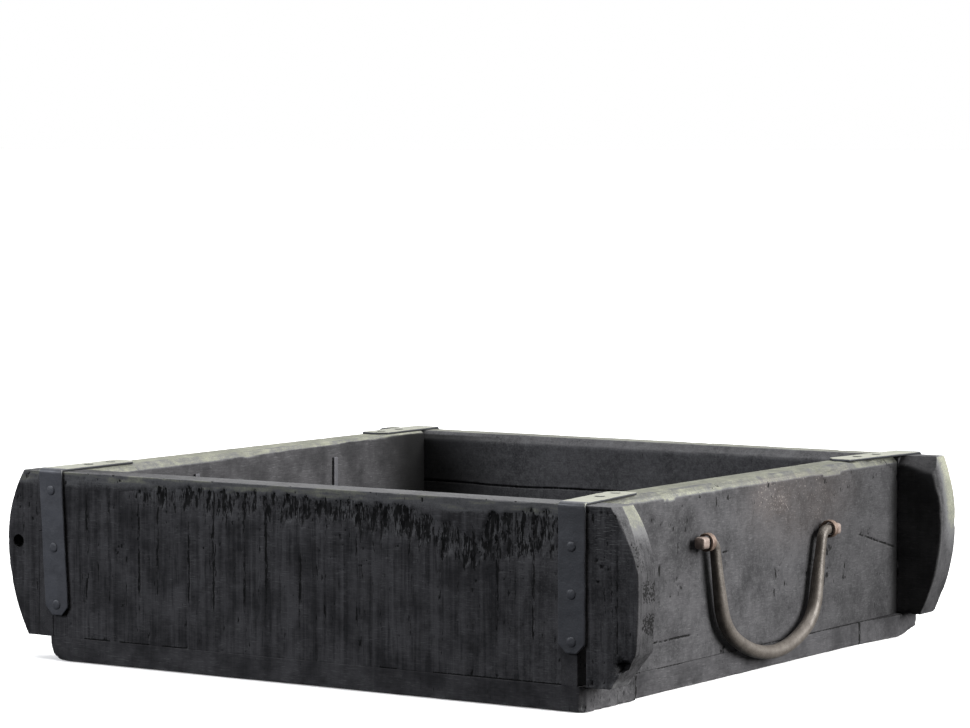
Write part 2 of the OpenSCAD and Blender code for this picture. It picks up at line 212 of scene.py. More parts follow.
def light_world():
    """Background light: DIM_SIDE before the box, BRIGHT_SIDE behind it, the share BELOW under the horizon."""
    world = bpy.data.worlds.new("studio")
    bpy.context.scene.world = world
    world.use_nodes = True
    tree = world.node_tree
    background = tree.nodes["Background"]
    background.inputs["Color"].default_value = (1, 1, 1, 1)
    way = tree.nodes.new("ShaderNodeTexCoord").outputs["Generated"]
    ahead = (-math.sin(CAMERA_TURN), math.cos(CAMERA_TURN), 0)
    behind = add_node(tree, "VectorMath", {0: way, 1: ahead}, operation="DOT_PRODUCT").outputs["Value"]
    height = add_node(tree, "SeparateXYZ", {0: way}).outputs["Z"]
    side = ramp(tree, behind, *SIDE_BLEND, DIM_SIDE, BRIGHT_SIDE)
    strength = times(tree, side, ramp(tree, height, *HORIZON_BLEND, BELOW, 1.0))
    tree.links.new(strength, background.inputs["Strength"])


def soft_light(name, place, size, power, tint):
    """A square area light that faces the middle of the box."""
    light = bpy.data.lights.new(name, "AREA")
    light.size = size
    light.energy = power
    light.color = tint
    lamp = bpy.data.objects.new(name, light)
    lamp.location = place
    towards = np.array([0, 0, TOP * MM / 2]) - np.array(place)
    level = math.hypot(towards[0], towards[1])
    lamp.rotation_euler = (math.atan2(level, -towards[2]), 0, math.atan2(-towards[0], towards[1]))
    bpy.context.scene.collection.objects.link(lamp)


def overhead_sun():
    """Light straight down from a wide disc, so that its shadows have no edge."""
    light = bpy.data.lights.new("overhead", "SUN")
    light.energy = SUN_POWER
    light.angle = SUN_SPREAD
    bpy.context.scene.collection.objects.link(bpy.data.objects.new("overhead", light))


light_world()
soft_light("key", KEY_PLACE, KEY_SIZE, KEY_POWER, KEY_TINT)
soft_light("fill", FILL_PLACE, FILL_SIZE, FILL_POWER, FILL_TINT)
overhead_sun()
bpy.context.scene.view_settings.view_transform = "Standard"
print("light: key, fill, sun and surroundings")

# %% [markdown]
# Worn wood needs randomness that is the same on every run. Lattice noise gives it: fixed random numbers sit
# on the corners of a grid of cells, and points between them take a smooth blend. Stretching the cells along
# one axis turns spots into fibres, saw marks or cracks, and adding finer copies makes the pattern look
# natural. A cell longer than the box leaves the pattern even along that axis.

# %% Noise
HASH_X, HASH_Y, HASH_Z, HASH_SEED, HASH_STIR = 73856093, 19349663, 83492791, 2654435761, 1274126177
EVEN = 400


def lattice(p, seed):
    """Random numbers from 0 to 1 at the whole-number points of space, blended smoothly in between."""
    cell = np.floor(p).astype(np.int64)
    share = p - cell
    share = share * share * (3 - 2 * share)
    blend = np.zeros(len(p))
    for corner in np.ndindex(2, 2, 2):
        x, y, z = (cell + corner).T
        stirred = x * HASH_X ^ y * HASH_Y ^ z * HASH_Z ^ seed * HASH_SEED
        stirred = (stirred ^ stirred >> 13) * HASH_STIR & 0xFFFFFFFF
        value = (stirred ^ stirred >> 16 & 0xFFFF) % 65536 / 65535
        blend += value * np.prod(np.where(np.array(corner) == 1, share, 1 - share), axis=1)
    return blend


def mottle(p, size, seed, octaves=3):
    """Lattice noise with cells of the given size in millimetres, plus finer, weaker copies, from 0 to 1."""
    noise, weight = np.zeros(len(p)), 0.0
    for i in range(octaves):
        noise += lattice(p * 2 ** i / np.array(size, float), seed + i) / 2 ** i
        weight += 1 / 2 ** i
    return noise / weight


def smooth(x, low, high):
    """Smooth step: 0 at low, 1 at high, with low above high for a falling step."""
    t = np.clip((x - low) / (high - low), 0, 1)
    return t * t * (3 - 2 * t)


def span(x, rise, full, fade, end):
    """Rises from 0 to 1 between the first two limits and falls back to 0 between the last two."""
    return smooth(x, rise, full) * smooth(x, end, fade)


trial = np.random.default_rng(1).random((2000, 3)) * 90
print("noise: mean", round(float(mottle(trial, 7, 3).mean()), 2))

# %% [markdown]
# Every board, strap and strip here starts as a box, because that is how it left the saw or the roll. Its six
# sides are grids of two parameters that share the vertices on the box's edges, so the skin is closed. Wear
# then moves the vertices: edges are pulled round, faces are scratched, ends are bent. Working on whole arrays
# keeps this quick for tens of thousands of vertices.

# %% Box skins
CLOSE_STEPS = np.array([0.2, 0.5, 1.0, 1.7, 2.6])
STEP_GAP = 0.02


def breaks(low, high, step, *extra):
    """Breakpoints from low to high: even steps, closer ones near both ends, and the extra ones asked for."""
    even = np.linspace(low, high, max(2, round((high - low) / step) + 1))
    close = [low + CLOSE_STEPS, high - CLOSE_STEPS]
    inside = np.concatenate([even, *close, *[np.ravel(e) for e in extra]])
    return np.unique(np.round(np.clip(inside, low, high), 3))


def twins(*places):
    """A pair of breakpoints close to either side of each place, for a sharp step."""
    return np.array([[p - STEP_GAP, p + STEP_GAP] for p in places])


def box_skin(xs, ys, zs):
    """The six sides of a box as grids over the breakpoints: vertices, and quads that face outwards."""
    key = np.arange(len(xs) * len(ys) * len(zs)).reshape(len(xs), len(ys), len(zs))
    sides = [key[0], key[-1].T, key[:, 0].T, key[:, -1], key[:, :, 0], key[:, :, -1].T]
    quads = [np.stack([g[:-1, :-1], g[:-1, 1:], g[1:, 1:], g[1:, :-1]], axis=-1).reshape(-1, 4)
             for g in sides]
    used, quads = np.unique(np.concatenate(quads), return_inverse=True)
    i, j, k = np.unravel_index(used, key.shape)
    return np.stack([xs[i], ys[j], zs[k]], axis=1), quads.reshape(-1, 4)


print("box skins ready")

# %% [markdown]
# Most wear is a few moves that all the boards share. Edges are rounded or planed to a flat bevel, and faces
# are pressed in. Each move takes an array of sizes, so that every vertex can be worn by a different amount.

# %% Wear on a box skin
def softened(p, low, high, radius, bulge=2.0):
    """Rounds a box's edges: each point goes to the distance radius from the box that lies radius further in.

    A bulge of 2 measures that distance as usual and gives round edges, and a bulge of 1 gives flat bevels."""
    radius = np.broadcast_to(radius, len(p))[:, None]
    core = np.clip(p, low + radius, high - radius)
    away = p - core
    far = (np.abs(away) ** bulge).sum(axis=1, keepdims=True) ** (1 / bulge)
    return core + away * radius / far


def planed(p, axes, corner, ways, size):
    """Planes a flat bevel off an edge of a box, and says which points lie on it.

    The edge is a corner in the plane of two axes, and the ways say whether it is the high or the low end of
    each. The way in from the edge is the sum of both distances from it: where that is less than the size, a
    point moves by half of what is missing along each axis."""
    a, b = axes
    missing = size - ways[0] * (corner[0] - p[:, a]) - ways[1] * (corner[1] - p[:, b])
    step = np.maximum(missing, 0) / 2
    p[:, a] -= ways[0] * step
    p[:, b] -= ways[1] * step
    return smooth(missing, -0.4, 0.4)


def press_in(p, axis, low, high, from_low, from_high):
    """Moves the two faces across an axis inwards by given depths, and what lies between in proportion."""
    share = (p[:, axis] - low[axis]) / (high[axis] - low[axis])
    p[:, axis] += from_low * (1 - share) - from_high * share


def edge_distance(p, low, high):
    """Distance of each point on a box's skin from the nearest edge of the box."""
    return np.sort(np.concatenate([p - low, high - p], axis=1), axis=1)[:, 1]


print("wear helpers ready")

# %% [markdown]
# A finished skin becomes a mesh in one go, with whole arrays handed to Blender. Numbers that belong to the
# vertices, such as how worn a place is, go along as attributes, where a finish can read them. Each piece is
# then tied to the body that it moves with, and the node of the frame that it stands for is hidden.

# %% Meshes
SHARP_ANGLE = math.radians(50)


def make_piece(name, points, faces, body, slot, material, nodes, **marks):
    """Puts vertices in millimetres, faces and marks into a mesh, on a body of the frame."""
    groups = faces if isinstance(faces, list) else [faces]
    sizes = np.concatenate([np.full(len(g), g.shape[1]) for g in groups])
    mesh = bpy.data.meshes.new(name)
    mesh.vertices.add(len(points))
    mesh.vertices.foreach_set("co", (points * MM).astype(np.float32).ravel())
    mesh.loops.add(int(sizes.sum()))
    mesh.loops.foreach_set("vertex_index", np.concatenate([g.ravel() for g in groups]).astype(np.int32))
    mesh.polygons.add(len(sizes))
    mesh.polygons.foreach_set("loop_start", (np.cumsum(sizes) - sizes).astype(np.int32))
    mesh.update(calc_edges=True)
    mesh.validate()
    mesh.shade_smooth()
    mesh.set_sharp_from_angle(angle=SHARP_ANGLE)
    for mark, values in marks.items():
        mesh.attributes.new(mark, "FLOAT", "POINT").data.foreach_set("value", values.astype(np.float32))
    mesh.materials.append(material)
    piece = bpy.data.objects.new(name, mesh)
    bpy.context.scene.collection.objects.link(piece)
    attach(piece, body)
    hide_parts(*nodes)
    print(name, len(points), "vertices")


print("mesh maker ready")

# %% [markdown]
# The finishes are node materials. Each helper adds one step: noise on the object's own coordinates, a number
# stored on the vertices, a blend of two colours. The vertex numbers come from the same arrays that shaped the
# mesh, so black paint sits exactly in the torn fibres and bare wood exactly on the worn edges.

# %% Helpers for finishes
def speckle(tree, size, detail=4, rough=0.6):
    """Noise with cells of the given size in millimetres along X, Y and Z."""
    place = tree.nodes.new("ShaderNodeTexCoord").outputs["Object"]
    scale = tuple(1 / (s * MM) for s in np.broadcast_to(size, 3))
    scaled = add_node(tree, "Mapping", {"Vector": place, "Scale": scale})
    values = {"Vector": scaled.outputs[0], "Scale": 1.0, "Detail": detail, "Roughness": rough}
    return add_node(tree, "TexNoise", values).outputs["Fac"]


def swing(tree, noise, strength):
    """Noise moved to lie about nought and made stronger or weaker."""
    return times(tree, maths(tree, "SUBTRACT", noise, 0.5), strength)


def mark_of(tree, name):
    """A number stored on the vertices."""
    return add_node(tree, "Attribute", {}, attribute_name=name).outputs["Fac"]


def mixed(tree, share, a, b):
    """Blend of two colours."""
    return add_node(tree, "Mix", {0: share, 6: a, 7: b}, data_type="RGBA").outputs[2]


def raised(tree, height, depth):
    """Small relief of the given depth in millimetres."""
    return add_node(tree, "Bump", {"Height": height, "Distance": depth * MM, "Strength": 1.0}).outputs[0]


def finish_with(tree, shader, colour, roughness, normal):
    """Links a finish to its shader."""
    tree.links.new(colour, shader.inputs["Base Color"])
    tree.links.new(roughness, shader.inputs["Roughness"])
    tree.links.new(normal, shader.inputs["Normal"])


print("finish helpers ready")

# %% [markdown]
# The boards are stained charcoal over old, saw-marked wood. On the real box wear first greys the stain and
# then bares a cream wood on the edges, hands have rubbed it brown, and torn places are black between pale
# slivers. Each of these is a layer of colour over the last one. Most layers show where their mark on the
# vertices, roughened by noise, passes a soft limit. The last layer blends in black by one mark, which
# carries painted shade and a few darker places.

# %% Marks on the wood
GREY_WOOD = (0.105, 0.105, 0.107, 1)
BROWN_WOOD = (0.115, 0.088, 0.074, 1)
SPECK_PALE = (0.24, 0.215, 0.198, 1)
PIT_AND_SHADE_BLACK = (0.003, 0.003, 0.003, 1)
SLIVERS, SLIVER_DEPTH = ((1.5, 1.5, 9.0), (0.7, 0.7, 4.0)), 1.7


def marked_wood(tree, colour, cream, grit):
    """Lays the marks over a stain, most of them by a soft limit on the mark plus some noise.

    Wear turns it grey and then cream, a rub brown with pale specks, tears and pits black, and painted shade
    black."""
    ragged = total(tree, swing(tree, speckle(tree, 3.2, 4, 0.7), 0.5), swing(tree, grit, 0.4))
    rubbed = total(tree, mark_of(tree, "bare"), ragged)
    colour = mixed(tree, ramp(tree, rubbed, 0.12, 0.62), colour, GREY_WOOD)
    colour = mixed(tree, ramp(tree, rubbed, 0.55, 1.0), colour, cream)
    brown = mark_of(tree, "brown")
    colour = mixed(tree, times(tree, brown, 0.5), colour, BROWN_WOOD)
    specks = total(tree, brown, swing(tree, grit, 2.2))
    colour = mixed(tree, ramp(tree, specks, 0.62, 0.88, 0, 0.8), colour, SPECK_PALE)
    slivers = total(tree, *[swing(tree, speckle(tree, size, 3, 0.6), SLIVER_DEPTH) for size in SLIVERS])
    torn = total(tree, mark_of(tree, "torn"), slivers)
    colour = mixed(tree, ramp(tree, torn, 0.44, 0.60), colour, PIT_AND_SHADE_BLACK)
    pitted = total(tree, mark_of(tree, "pitted"), swing(tree, speckle(tree, 1.4, 3, 0.6), 2.0))
    colour = mixed(tree, ramp(tree, pitted, 0.56, 0.70, 0, 0.95), colour, PIT_AND_SHADE_BLACK)
    # Painted shade: black blended in by the shade mark, which also darkens a few places.
    return mixed(tree, mark_of(tree, "sooty"), colour, PIT_AND_SHADE_BLACK)


# The soot in this list is painted shade, with a few darker places.
print("layers on the wood: grey, cream, brown, specks, tears, pits and soot")

# %% [markdown]
# The stain itself is thin, so that fibres and scratches show through it. One function makes the whole finish.
# Its arguments are the direction of the grain, how clearly upright saw streaks show and how cloudy the stain
# is: the front wall is clearly sawn, the back wall and the runners are plainer, and the end walls and floor
# boards have their grain across the box.

# %% Charcoal wood
STAIN_DARK = (0.0175, 0.0172, 0.0185, 1)
STAIN_LIGHT = (0.062, 0.0605, 0.0635, 1)
STAIN_SPREAD = 0.09
SAW_DARK = (0.009, 0.009, 0.010, 1)
CREAM_DARK = (0.128, 0.131, 0.104, 1)
CREAM_LIGHT = (0.245, 0.248, 0.192, 1)
FIBRE_SHARE, WOOD_SHINE, WOOD_RELIEF = 0.1, 0.14, 0.3


def charcoal_wood(name, grain, sawn, cloudy):
    """Stained wood whose fibres run along one axis, with marks for its worn, torn and dirty places.

    The stain's tone is a weighted sum of clouds, fibres and upright saw streaks. Dark saw dashes, grey
    scratches and grey dust lie on it, and the marks lie over them."""
    material, tree, shader = new_finish(name)
    shader.inputs["Specular IOR Level"].default_value = WOOD_SHINE
    along = np.array([axis == grain for axis in "XYZ"])
    cloud = speckle(tree, 26, 6, 0.68)
    fibres = speckle(tree, np.where(along, 9.0, 0.9), 4, 0.7)
    scratches = speckle(tree, np.where(along, 5.0, 0.35), 2, 0.5)
    streaks = speckle(tree, (2.6, 2.6, 110), 4, 0.65)
    grit = speckle(tree, 0.9, 2, 0.5)
    tone = total(tree, times(tree, cloud, cloudy), times(tree, fibres, FIBRE_SHARE))
    tone = total(tree, tone, times(tree, streaks, sawn))
    middle = (cloudy + FIBRE_SHARE + sawn) / 2
    light = ramp(tree, tone, middle - STAIN_SPREAD, middle + STAIN_SPREAD)
    stain = mixed(tree, light, STAIN_DARK, STAIN_LIGHT)
    dashes = ramp(tree, speckle(tree, (1.7, 1.7, 24), 3, 0.6), 0.55, 0.70, 0, min(1, 2.1 * sawn))
    stain = mixed(tree, dashes, stain, SAW_DARK)
    scuffed = maths(tree, "MAXIMUM", ramp(tree, cloud, 0.4, 0.58, 0.08, 0.6), mark_of(tree, "scratched"))
    stain = mixed(tree, times(tree, ramp(tree, scratches, 0.58, 0.68), scuffed), stain, GREY_WOOD)
    stain = mixed(tree, ramp(tree, grit, 0.70, 0.76, 0, 0.6), stain, GREY_WOOD)
    cream = mixed(tree, ramp(tree, times(tree, fibres, cloud), 0.13, 0.36), CREAM_DARK, CREAM_LIGHT)
    colour = marked_wood(tree, stain, cream, grit)
    rough = ramp(tree, tone, middle - 0.2, middle + 0.2, 0.82, 0.62)
    relief = total(tree, times(tree, fibres, 0.25 + sawn), times(tree, streaks, 2 * sawn))
    finish_with(tree, shader, colour, rough, raised(tree, relief, WOOD_RELIEF))
    return material


WOOD_SAWN = charcoal_wood("charcoal_wood_along", "X", 0.3, 0.45)
WOOD_PLAIN = charcoal_wood("charcoal_wood_plain", "X", 0.06, 0.36)
WOOD_ACROSS = charcoal_wood("charcoal_wood_across", "Y", 0.02, 0.32)
print("finishes:", WOOD_SAWN.name, WOOD_PLAIN.name, WOOD_ACROSS.name)

# %% [markdown]
# A long wall is one board with an ear at each end. Its outline could be a drawn curve given a thickness, but
# then its faces would be single polygons that can't be worn. Here it is a box skin instead: each end is
# pulled in by two arcs that meet at the ear's crest, and where a tenon passes through, the foot of the board
# steps up.

# %% Shape of the long walls
EAR_CREST = FOOT + 53.0
FRONT_LEFT_EAR = (68.0, 105.0)
FRONT_RIGHT_EAR = (62.0, 400.0)
BACK_LEFT_EAR = (78.0, 95.0)
BACK_RIGHT_EAR = (100.0, 111.0)
EAR_ROOT = 6.5
FOOT_CUT = (17.0, 20.0)
TENON_THICK, TENON_HIGH, TENON_GAP, HAIR_GAP, WORN_GAP = 9.5, 58.0, 0.3, 0.05, 4.5


def ear_drop(z, radii):
    """How far an ear's end lies behind its crest: an arc of one radius above the crest, of another below."""
    radius = np.where(z > EAR_CREST, radii[0], radii[1])
    return radius - np.sqrt(np.maximum(radius ** 2 - (z - EAR_CREST) ** 2, 0))


def slot_edges(left_gap, extra_right):
    """Edges of the two tenon slots along X: a tenon's thickness, a gap beside it, more where it is worn."""
    left = (LEFT - left_gap, LEFT + TENON_THICK + left_gap)
    right = (RIGHT - TENON_THICK - TENON_GAP, RIGHT + TENON_GAP + extra_right)
    return left, right


def step_up(p, slots):
    """Lifts the foot of the board inside the slots: what is left above a tenon takes the whole grid."""
    height = TENON_HIGH + TENON_GAP
    for start, end in slots:
        inside = (p[:, 0] > start) & (p[:, 0] < end)
        p[inside, 2] = TOP - (TOP - p[inside, 2]) * (TOP - FOOT - height) / (TOP - FOOT)


def pull_ends(p, low, high, left_drop, right_drop):
    """Pulls both ends in: nothing at the ear's root, the whole drop at its tip."""
    left = np.clip((LEFT - EAR_ROOT - p[:, 0]) / (LEFT - EAR_ROOT - low[0]), 0, 1)
    right = np.clip((p[:, 0] - RIGHT - EAR_ROOT) / (high[0] - RIGHT - EAR_ROOT), 0, 1)
    p[:, 0] += left * left_drop - right * right_drop


print("front right ear's drop at the top:", round(float(ear_drop(TOP, FRONT_RIGHT_EAR)), 1))

# %% [markdown]
# The front wall is the face that the photograph shows best. A saw has torn its upper edge: black splintered
# patches hang below a paler strip along the top, and straight saw marks run down from them. The tears are
# real dents in the mesh, cut where noise with tall narrow cells rises above a limit inside a band. The band's
# upper and lower limits follow the photograph.

# %% Tears and saw marks
BAND_X = [-125, -112, -100, -67, -14, 19, 44, 63, 82, 97, 110, 119, 137, 152, 166, 180, 188]
BAND_UPPER = [7, 6, 5, 4, 4, 5, 6, 4, 10, 13, 22, 6, 5, 4, 4, 4, 5]
BAND_LOWER = [10, 14, 17, 19, 20, 16, 21, 25, 27, 35, 36, 32, 30, 28, 30, 26, 10]
BAND_DENSE = [0.0, 0.5, 0.7, 0.75, 0.55, 0.75, 1.1, 1.2, 1.0, 1.0, 0.85, 0.9, 0.6, 0.75, 0.65, 0.0, 0.0]
STROKE_FIRST, STROKE_PITCH, STROKE_COUNT, STROKE_WIDTH = -149.0, 18.2, 18, 1.3
STROKE_STRAY = np.random.default_rng(4).uniform(-3, 3, STROKE_COUNT)
STROKES = STROKE_FIRST + STROKE_PITCH * np.arange(STROKE_COUNT) + STROKE_STRAY


def saw_tears(p):
    """How densely the saw tore the wood, from 0 to 1: a band with jagged limits that thins out downwards."""
    below = TOP - p[:, 2]
    upper, lower, dense = [np.interp(p[:, 0], BAND_X, row) for row in (BAND_UPPER, BAND_LOWER, BAND_DENSE)]
    upper = upper + 7.0 * (mottle(p, (3.0, EVEN, EVEN), 11, 2) - 0.45)
    lower = lower + 12.0 * (mottle(p, (3.6, EVEN, EVEN), 13, 2) - 0.45)
    inside = smooth(below, upper - 0.6, upper + 0.9) * smooth(below, lower + 4, lower - 7)
    clumps = smooth(mottle(p, (2.6, 90, 13.0), 17, 2), 0.3, 0.66)
    return inside * smooth(dense, 0.0, 0.4) * (0.15 + 0.23 * dense + 0.38 * clumps)


def saw_marks(p):
    """Upright saw marks, from 0 to 1: a broken line at each stroke of the saw and finer ones between them."""
    nearest = np.abs(p[:, :1] - STROKES).min(axis=1)
    strokes = smooth(nearest, STROKE_WIDTH, 0.2) * smooth(mottle(p, (9, 90, 30), 21, 2), 0.26, 0.48)
    fine = 0.5 * smooth(mottle(p, (2.2, 90, 60), 23, 3), 0.60, 0.74)
    return np.maximum(strokes, fine) * smooth(p[:, 2], FOOT + 8, FOOT + 30) * smooth(TOP - p[:, 2], 5, 18)


print("saw strokes:", STROKE_COUNT, "about", STROKE_PITCH, "mm apart")

# %% [markdown]
# The right ear of the front wall has scars of its own: an upright groove, a short dash, a few dots and a foot
# that has broken away. Its end is pitted in two zones. Each scar is a soft shape from 0 to 1, which says both
# how deep the wood is dented there and how black it is.

# %% Scars of the right ear
EAR_GROOVE_X, EAR_GROOVE_LOW, EAR_GROOVE_HIGH = 195.0, 30.0, 82.0
EAR_DASH_X, EAR_DASH_LOW, EAR_DASH_HIGH = 180.5, 93.0, 103.0
EAR_BREAK, EAR_BREAK_SIZE = np.array([198.0, 25.5]), np.array([5.5, 4.0])
EAR_DOTS, EAR_DOT_SIZE = [(185.4, 75.0), (183.0, 67.0), (186.5, 44.0), (179.8, 15.5)], 1.3
EAR_PITS, ARRIS_PITS, BEVEL_PITS = (46.0, 62.5), (70, 78, 86, 94), (74, 80, 84, 96)


def dent(p, centre, size):
    """A hollow in the plane of X and Z, from 0 at its rim to 1 in its middle."""
    return smooth(np.linalg.norm((p[:, [0, 2]] - centre) / size, axis=1), 1.0, 0.35)


def ear_marks(p):
    """Black places on the right ear: upright lines, a few small dots and the hollow of its broken foot."""
    x, _, z = p.T
    wander = 0.8 * (mottle(p, (EVEN, EVEN, 12), 61) - 0.5)
    line = smooth(np.abs(x - EAR_GROOVE_X + wander), 0.9, 0.2)
    line *= span(z, EAR_GROOVE_LOW - 3, EAR_GROOVE_LOW, EAR_GROOVE_HIGH, EAR_GROOVE_HIGH + 5)
    dash = smooth(np.abs(x - EAR_DASH_X + 2 * wander), 1.6, 0.3)
    dash *= span(z, EAR_DASH_LOW, EAR_DASH_LOW + 3, EAR_DASH_HIGH - 2, EAR_DASH_HIGH)
    dots = np.max([dent(p, np.array(dot), EAR_DOT_SIZE) for dot in EAR_DOTS], axis=0)
    ragged = p + 3.0 * (mottle(p, 2.6, 63, 2) - 0.5)[:, None]
    return 0.5 * np.maximum(line, dash), dots, dent(ragged, EAR_BREAK, EAR_BREAK_SIZE)


def ear_pits(flat, end_face, bevel):
    """Pits on the right ear's end and bevel, from 0 to 1, and the two zones where they lie deepest."""
    _, y, z = flat.T
    zone = np.max([smooth(np.abs(z - height), 8.0, 3.5) for height in EAR_PITS], axis=0)
    zone = zone * smooth(y, FRONT + 1, FRONT + 6)
    arris = span(z, *ARRIS_PITS) * smooth(y, FRONT + 9, FRONT + 4)
    clusters = smooth(mottle(flat, (30, 5, 9), 43, 2), 0.36, 0.62)
    pitted = end_face * (0.17 + zone * (0.36 + 0.2 * clusters) + 0.34 * arris)
    return np.maximum(pitted, 0.34 * bevel * span(z, *BEVEL_PITS)), zone


print("right ear:", len(EAR_DOTS), "dots and", len(EAR_PITS), "pitted zones")

# %% [markdown]
# The stain has worn off this wall in several ways, and each of them gives every vertex a number from 0 to 1.
# The pale strip along the top is partly a painted highlight. They don't add up, because wood can't be barer
# than bare: the largest number counts.

# %% Wear of the front wall
def front_wear(p, flat, bevel, end_face, on_front, tears):
    """Where the wood shows grey or cream, from 0 to 1: the most that any one kind of wear leaves.

    The kinds are the top, the edges, the strip above the tears, partly a painted highlight, and the slivers
    in them, the right ear's end, bevel and broken foot, and a faded right half."""
    x, _, z = flat.T
    along, _, height = p.T
    top = smooth(z, TOP - 0.3, TOP) * (0.31 + 0.3 * mottle(p, (18, 8, 90), 53))
    top *= 0.45 + 0.55 * smooth(along, -130, -60)
    edge = smooth(edge_distance(flat, front_low, front_high), 1.0, 0.1) * mottle(p, 9, 47)
    edge *= 0.75 * smooth(z, FOOT + 2, FOOT + 9) * (1 - bevel)
    # The paler strip along the top is partly worn and partly a painted highlight where the rounded edge
    # catches light.
    strip = 0.46 + 0.34 * smooth(mottle(p, (16, 90, 1.8), 51, 2), 0.35, 0.75)
    strip *= on_front * smooth(TOP - z, 11.0, 4.0) * smooth(along, RIGHT + 4, RIGHT - 4)
    slivers = 0.55 * smooth(tears, 0.1, 0.4) * mottle(p, (1.8, 90, 5), 57, 2)
    ear_end = end_face * (0.17 + 0.68 * smooth(z, TOP - 22, TOP - 5)) * (1 - bevel)
    foot = smooth(height, FOOT + 7, FOOT + 2) * smooth(along, RIGHT + 7, RIGHT + 14)
    foot *= 0.8 * mottle(p, 3, 59, 2)
    faded = 0.2 * on_front * smooth(x, 40, 170)
    return np.maximum.reduce([top, edge, strip, slivers, ear_end, 0.36 * bevel, foot, faded])


print("wear of the front wall ready")

# %% [markdown]
# The wall itself is one box skin whose grid lines lie closer where the tears, the saw strokes, the slots and
# the hole need them. The hole in the left ear is cut without any boolean: the grid lines round it are drawn
# into circles, the quads inside are dropped, and the two rims are joined by a wall of new quads.

# %% Grid and hole of the front wall
HOLE_RADIUS, HOLE_BLEND, HOLE_LINES = 3.7, 6.4, 7
TEAR_DEPTH, TEAR_ROW = 40, 1.05


def front_skin(hole, slots):
    """Box skin over even steps, with closer lines at the slots, hole, saw strokes, ear groove and tears."""
    low, high = front_low, front_high
    round_hole = np.linspace(-HOLE_RADIUS, HOLE_RADIUS, HOLE_LINES)
    strokes = STROKES[:, None] + STROKE_WIDTH * np.array([-1, -0.4, 0.4, 1])
    ear_groove = EAR_GROOVE_X + np.array([-1, -0.4, 0, 0.4, 1])
    xs = breaks(low[0], high[0], 1.4, twins(*np.ravel(slots)), hole[0] + round_hole, strokes, ear_groove)
    ys = breaks(low[1], high[1], 3.0, low[1] + np.arange(0, 7, 0.8))
    tear_rows = np.arange(TOP - TEAR_DEPTH, TOP - 0.6, TEAR_ROW)
    zs = breaks(low[2], high[2], 2.6, tear_rows, [TOP - 0.3], hole[1] + round_hole)
    return box_skin(xs, ys, zs)


def open_hole(points, flat, quads, centre):
    """Draws the lines round a hole into circles, drops the quads inside and returns the rest with its wall.

    A point of a square round the centre goes to the circle that the square encloses, less so further out."""
    off = flat[:, [0, 2]] - centre
    square, far = np.abs(off).max(axis=1), np.maximum(np.hypot(off[:, 0], off[:, 1]), 1e-9)
    share = smooth(square, HOLE_BLEND, HOLE_RADIUS)[:, None]
    points[:, [0, 2]] += off * share * (square / far - 1)[:, None]
    inside = (square[quads] < HOLE_RADIUS + 0.01).all(axis=1)
    hole = quads[inside]
    sides = np.concatenate([hole[:, [i, (i + 1) % 4]] for i in range(4)])
    _, first, count = np.unique(np.sort(sides, axis=1), axis=0, return_index=True, return_counts=True)
    rim = sides[first[count == 1]]
    near = flat[rim[:, 0], 1] < (FRONT + INNER_FRONT) / 2
    partner = {tuple(flat[v, [0, 2]]): v for v in np.unique(rim[~near])}
    facing = np.array([[partner[tuple(flat[v, [0, 2]])] for v in pair] for pair in rim[near]])
    wall = np.concatenate([rim[near], facing[:, ::-1]], axis=1)
    return np.concatenate([quads[~inside], wall])


print("hole:", 2 * HOLE_RADIUS, "mm wide")

# %% [markdown]
# Now the wall is worn in order: first its edges are rounded and its right end is planed to a bevel, then it
# is slotted, pulled to its ears and pierced, and at last its faces are dented. The foot of the right ear is
# cut off at a slant. Paint has filled the left slot up to a hair's breadth, while the right one is worn wide,
# and dark dashes along the foot show where the seam above the floor gapes.

# %% Front wall
HOLE_EDGE, HOLE_DROP = 7.5, 1.5
BEVEL_FOOT, BEVEL_SLOPE, BEVEL_LEAST, BEVEL_MOST = 72.0, 0.175, 0.3, 5.7
SEAM_DASHES = ((-148.5, -130.0), (-123.0, -103.0), (-95.0, -77.0), (50.0, 60.5), (84.0, 162.0))
# The right ear's end is darker in a band of heights.
EAR_DARK_BAND = (26, 40, 72, 86)


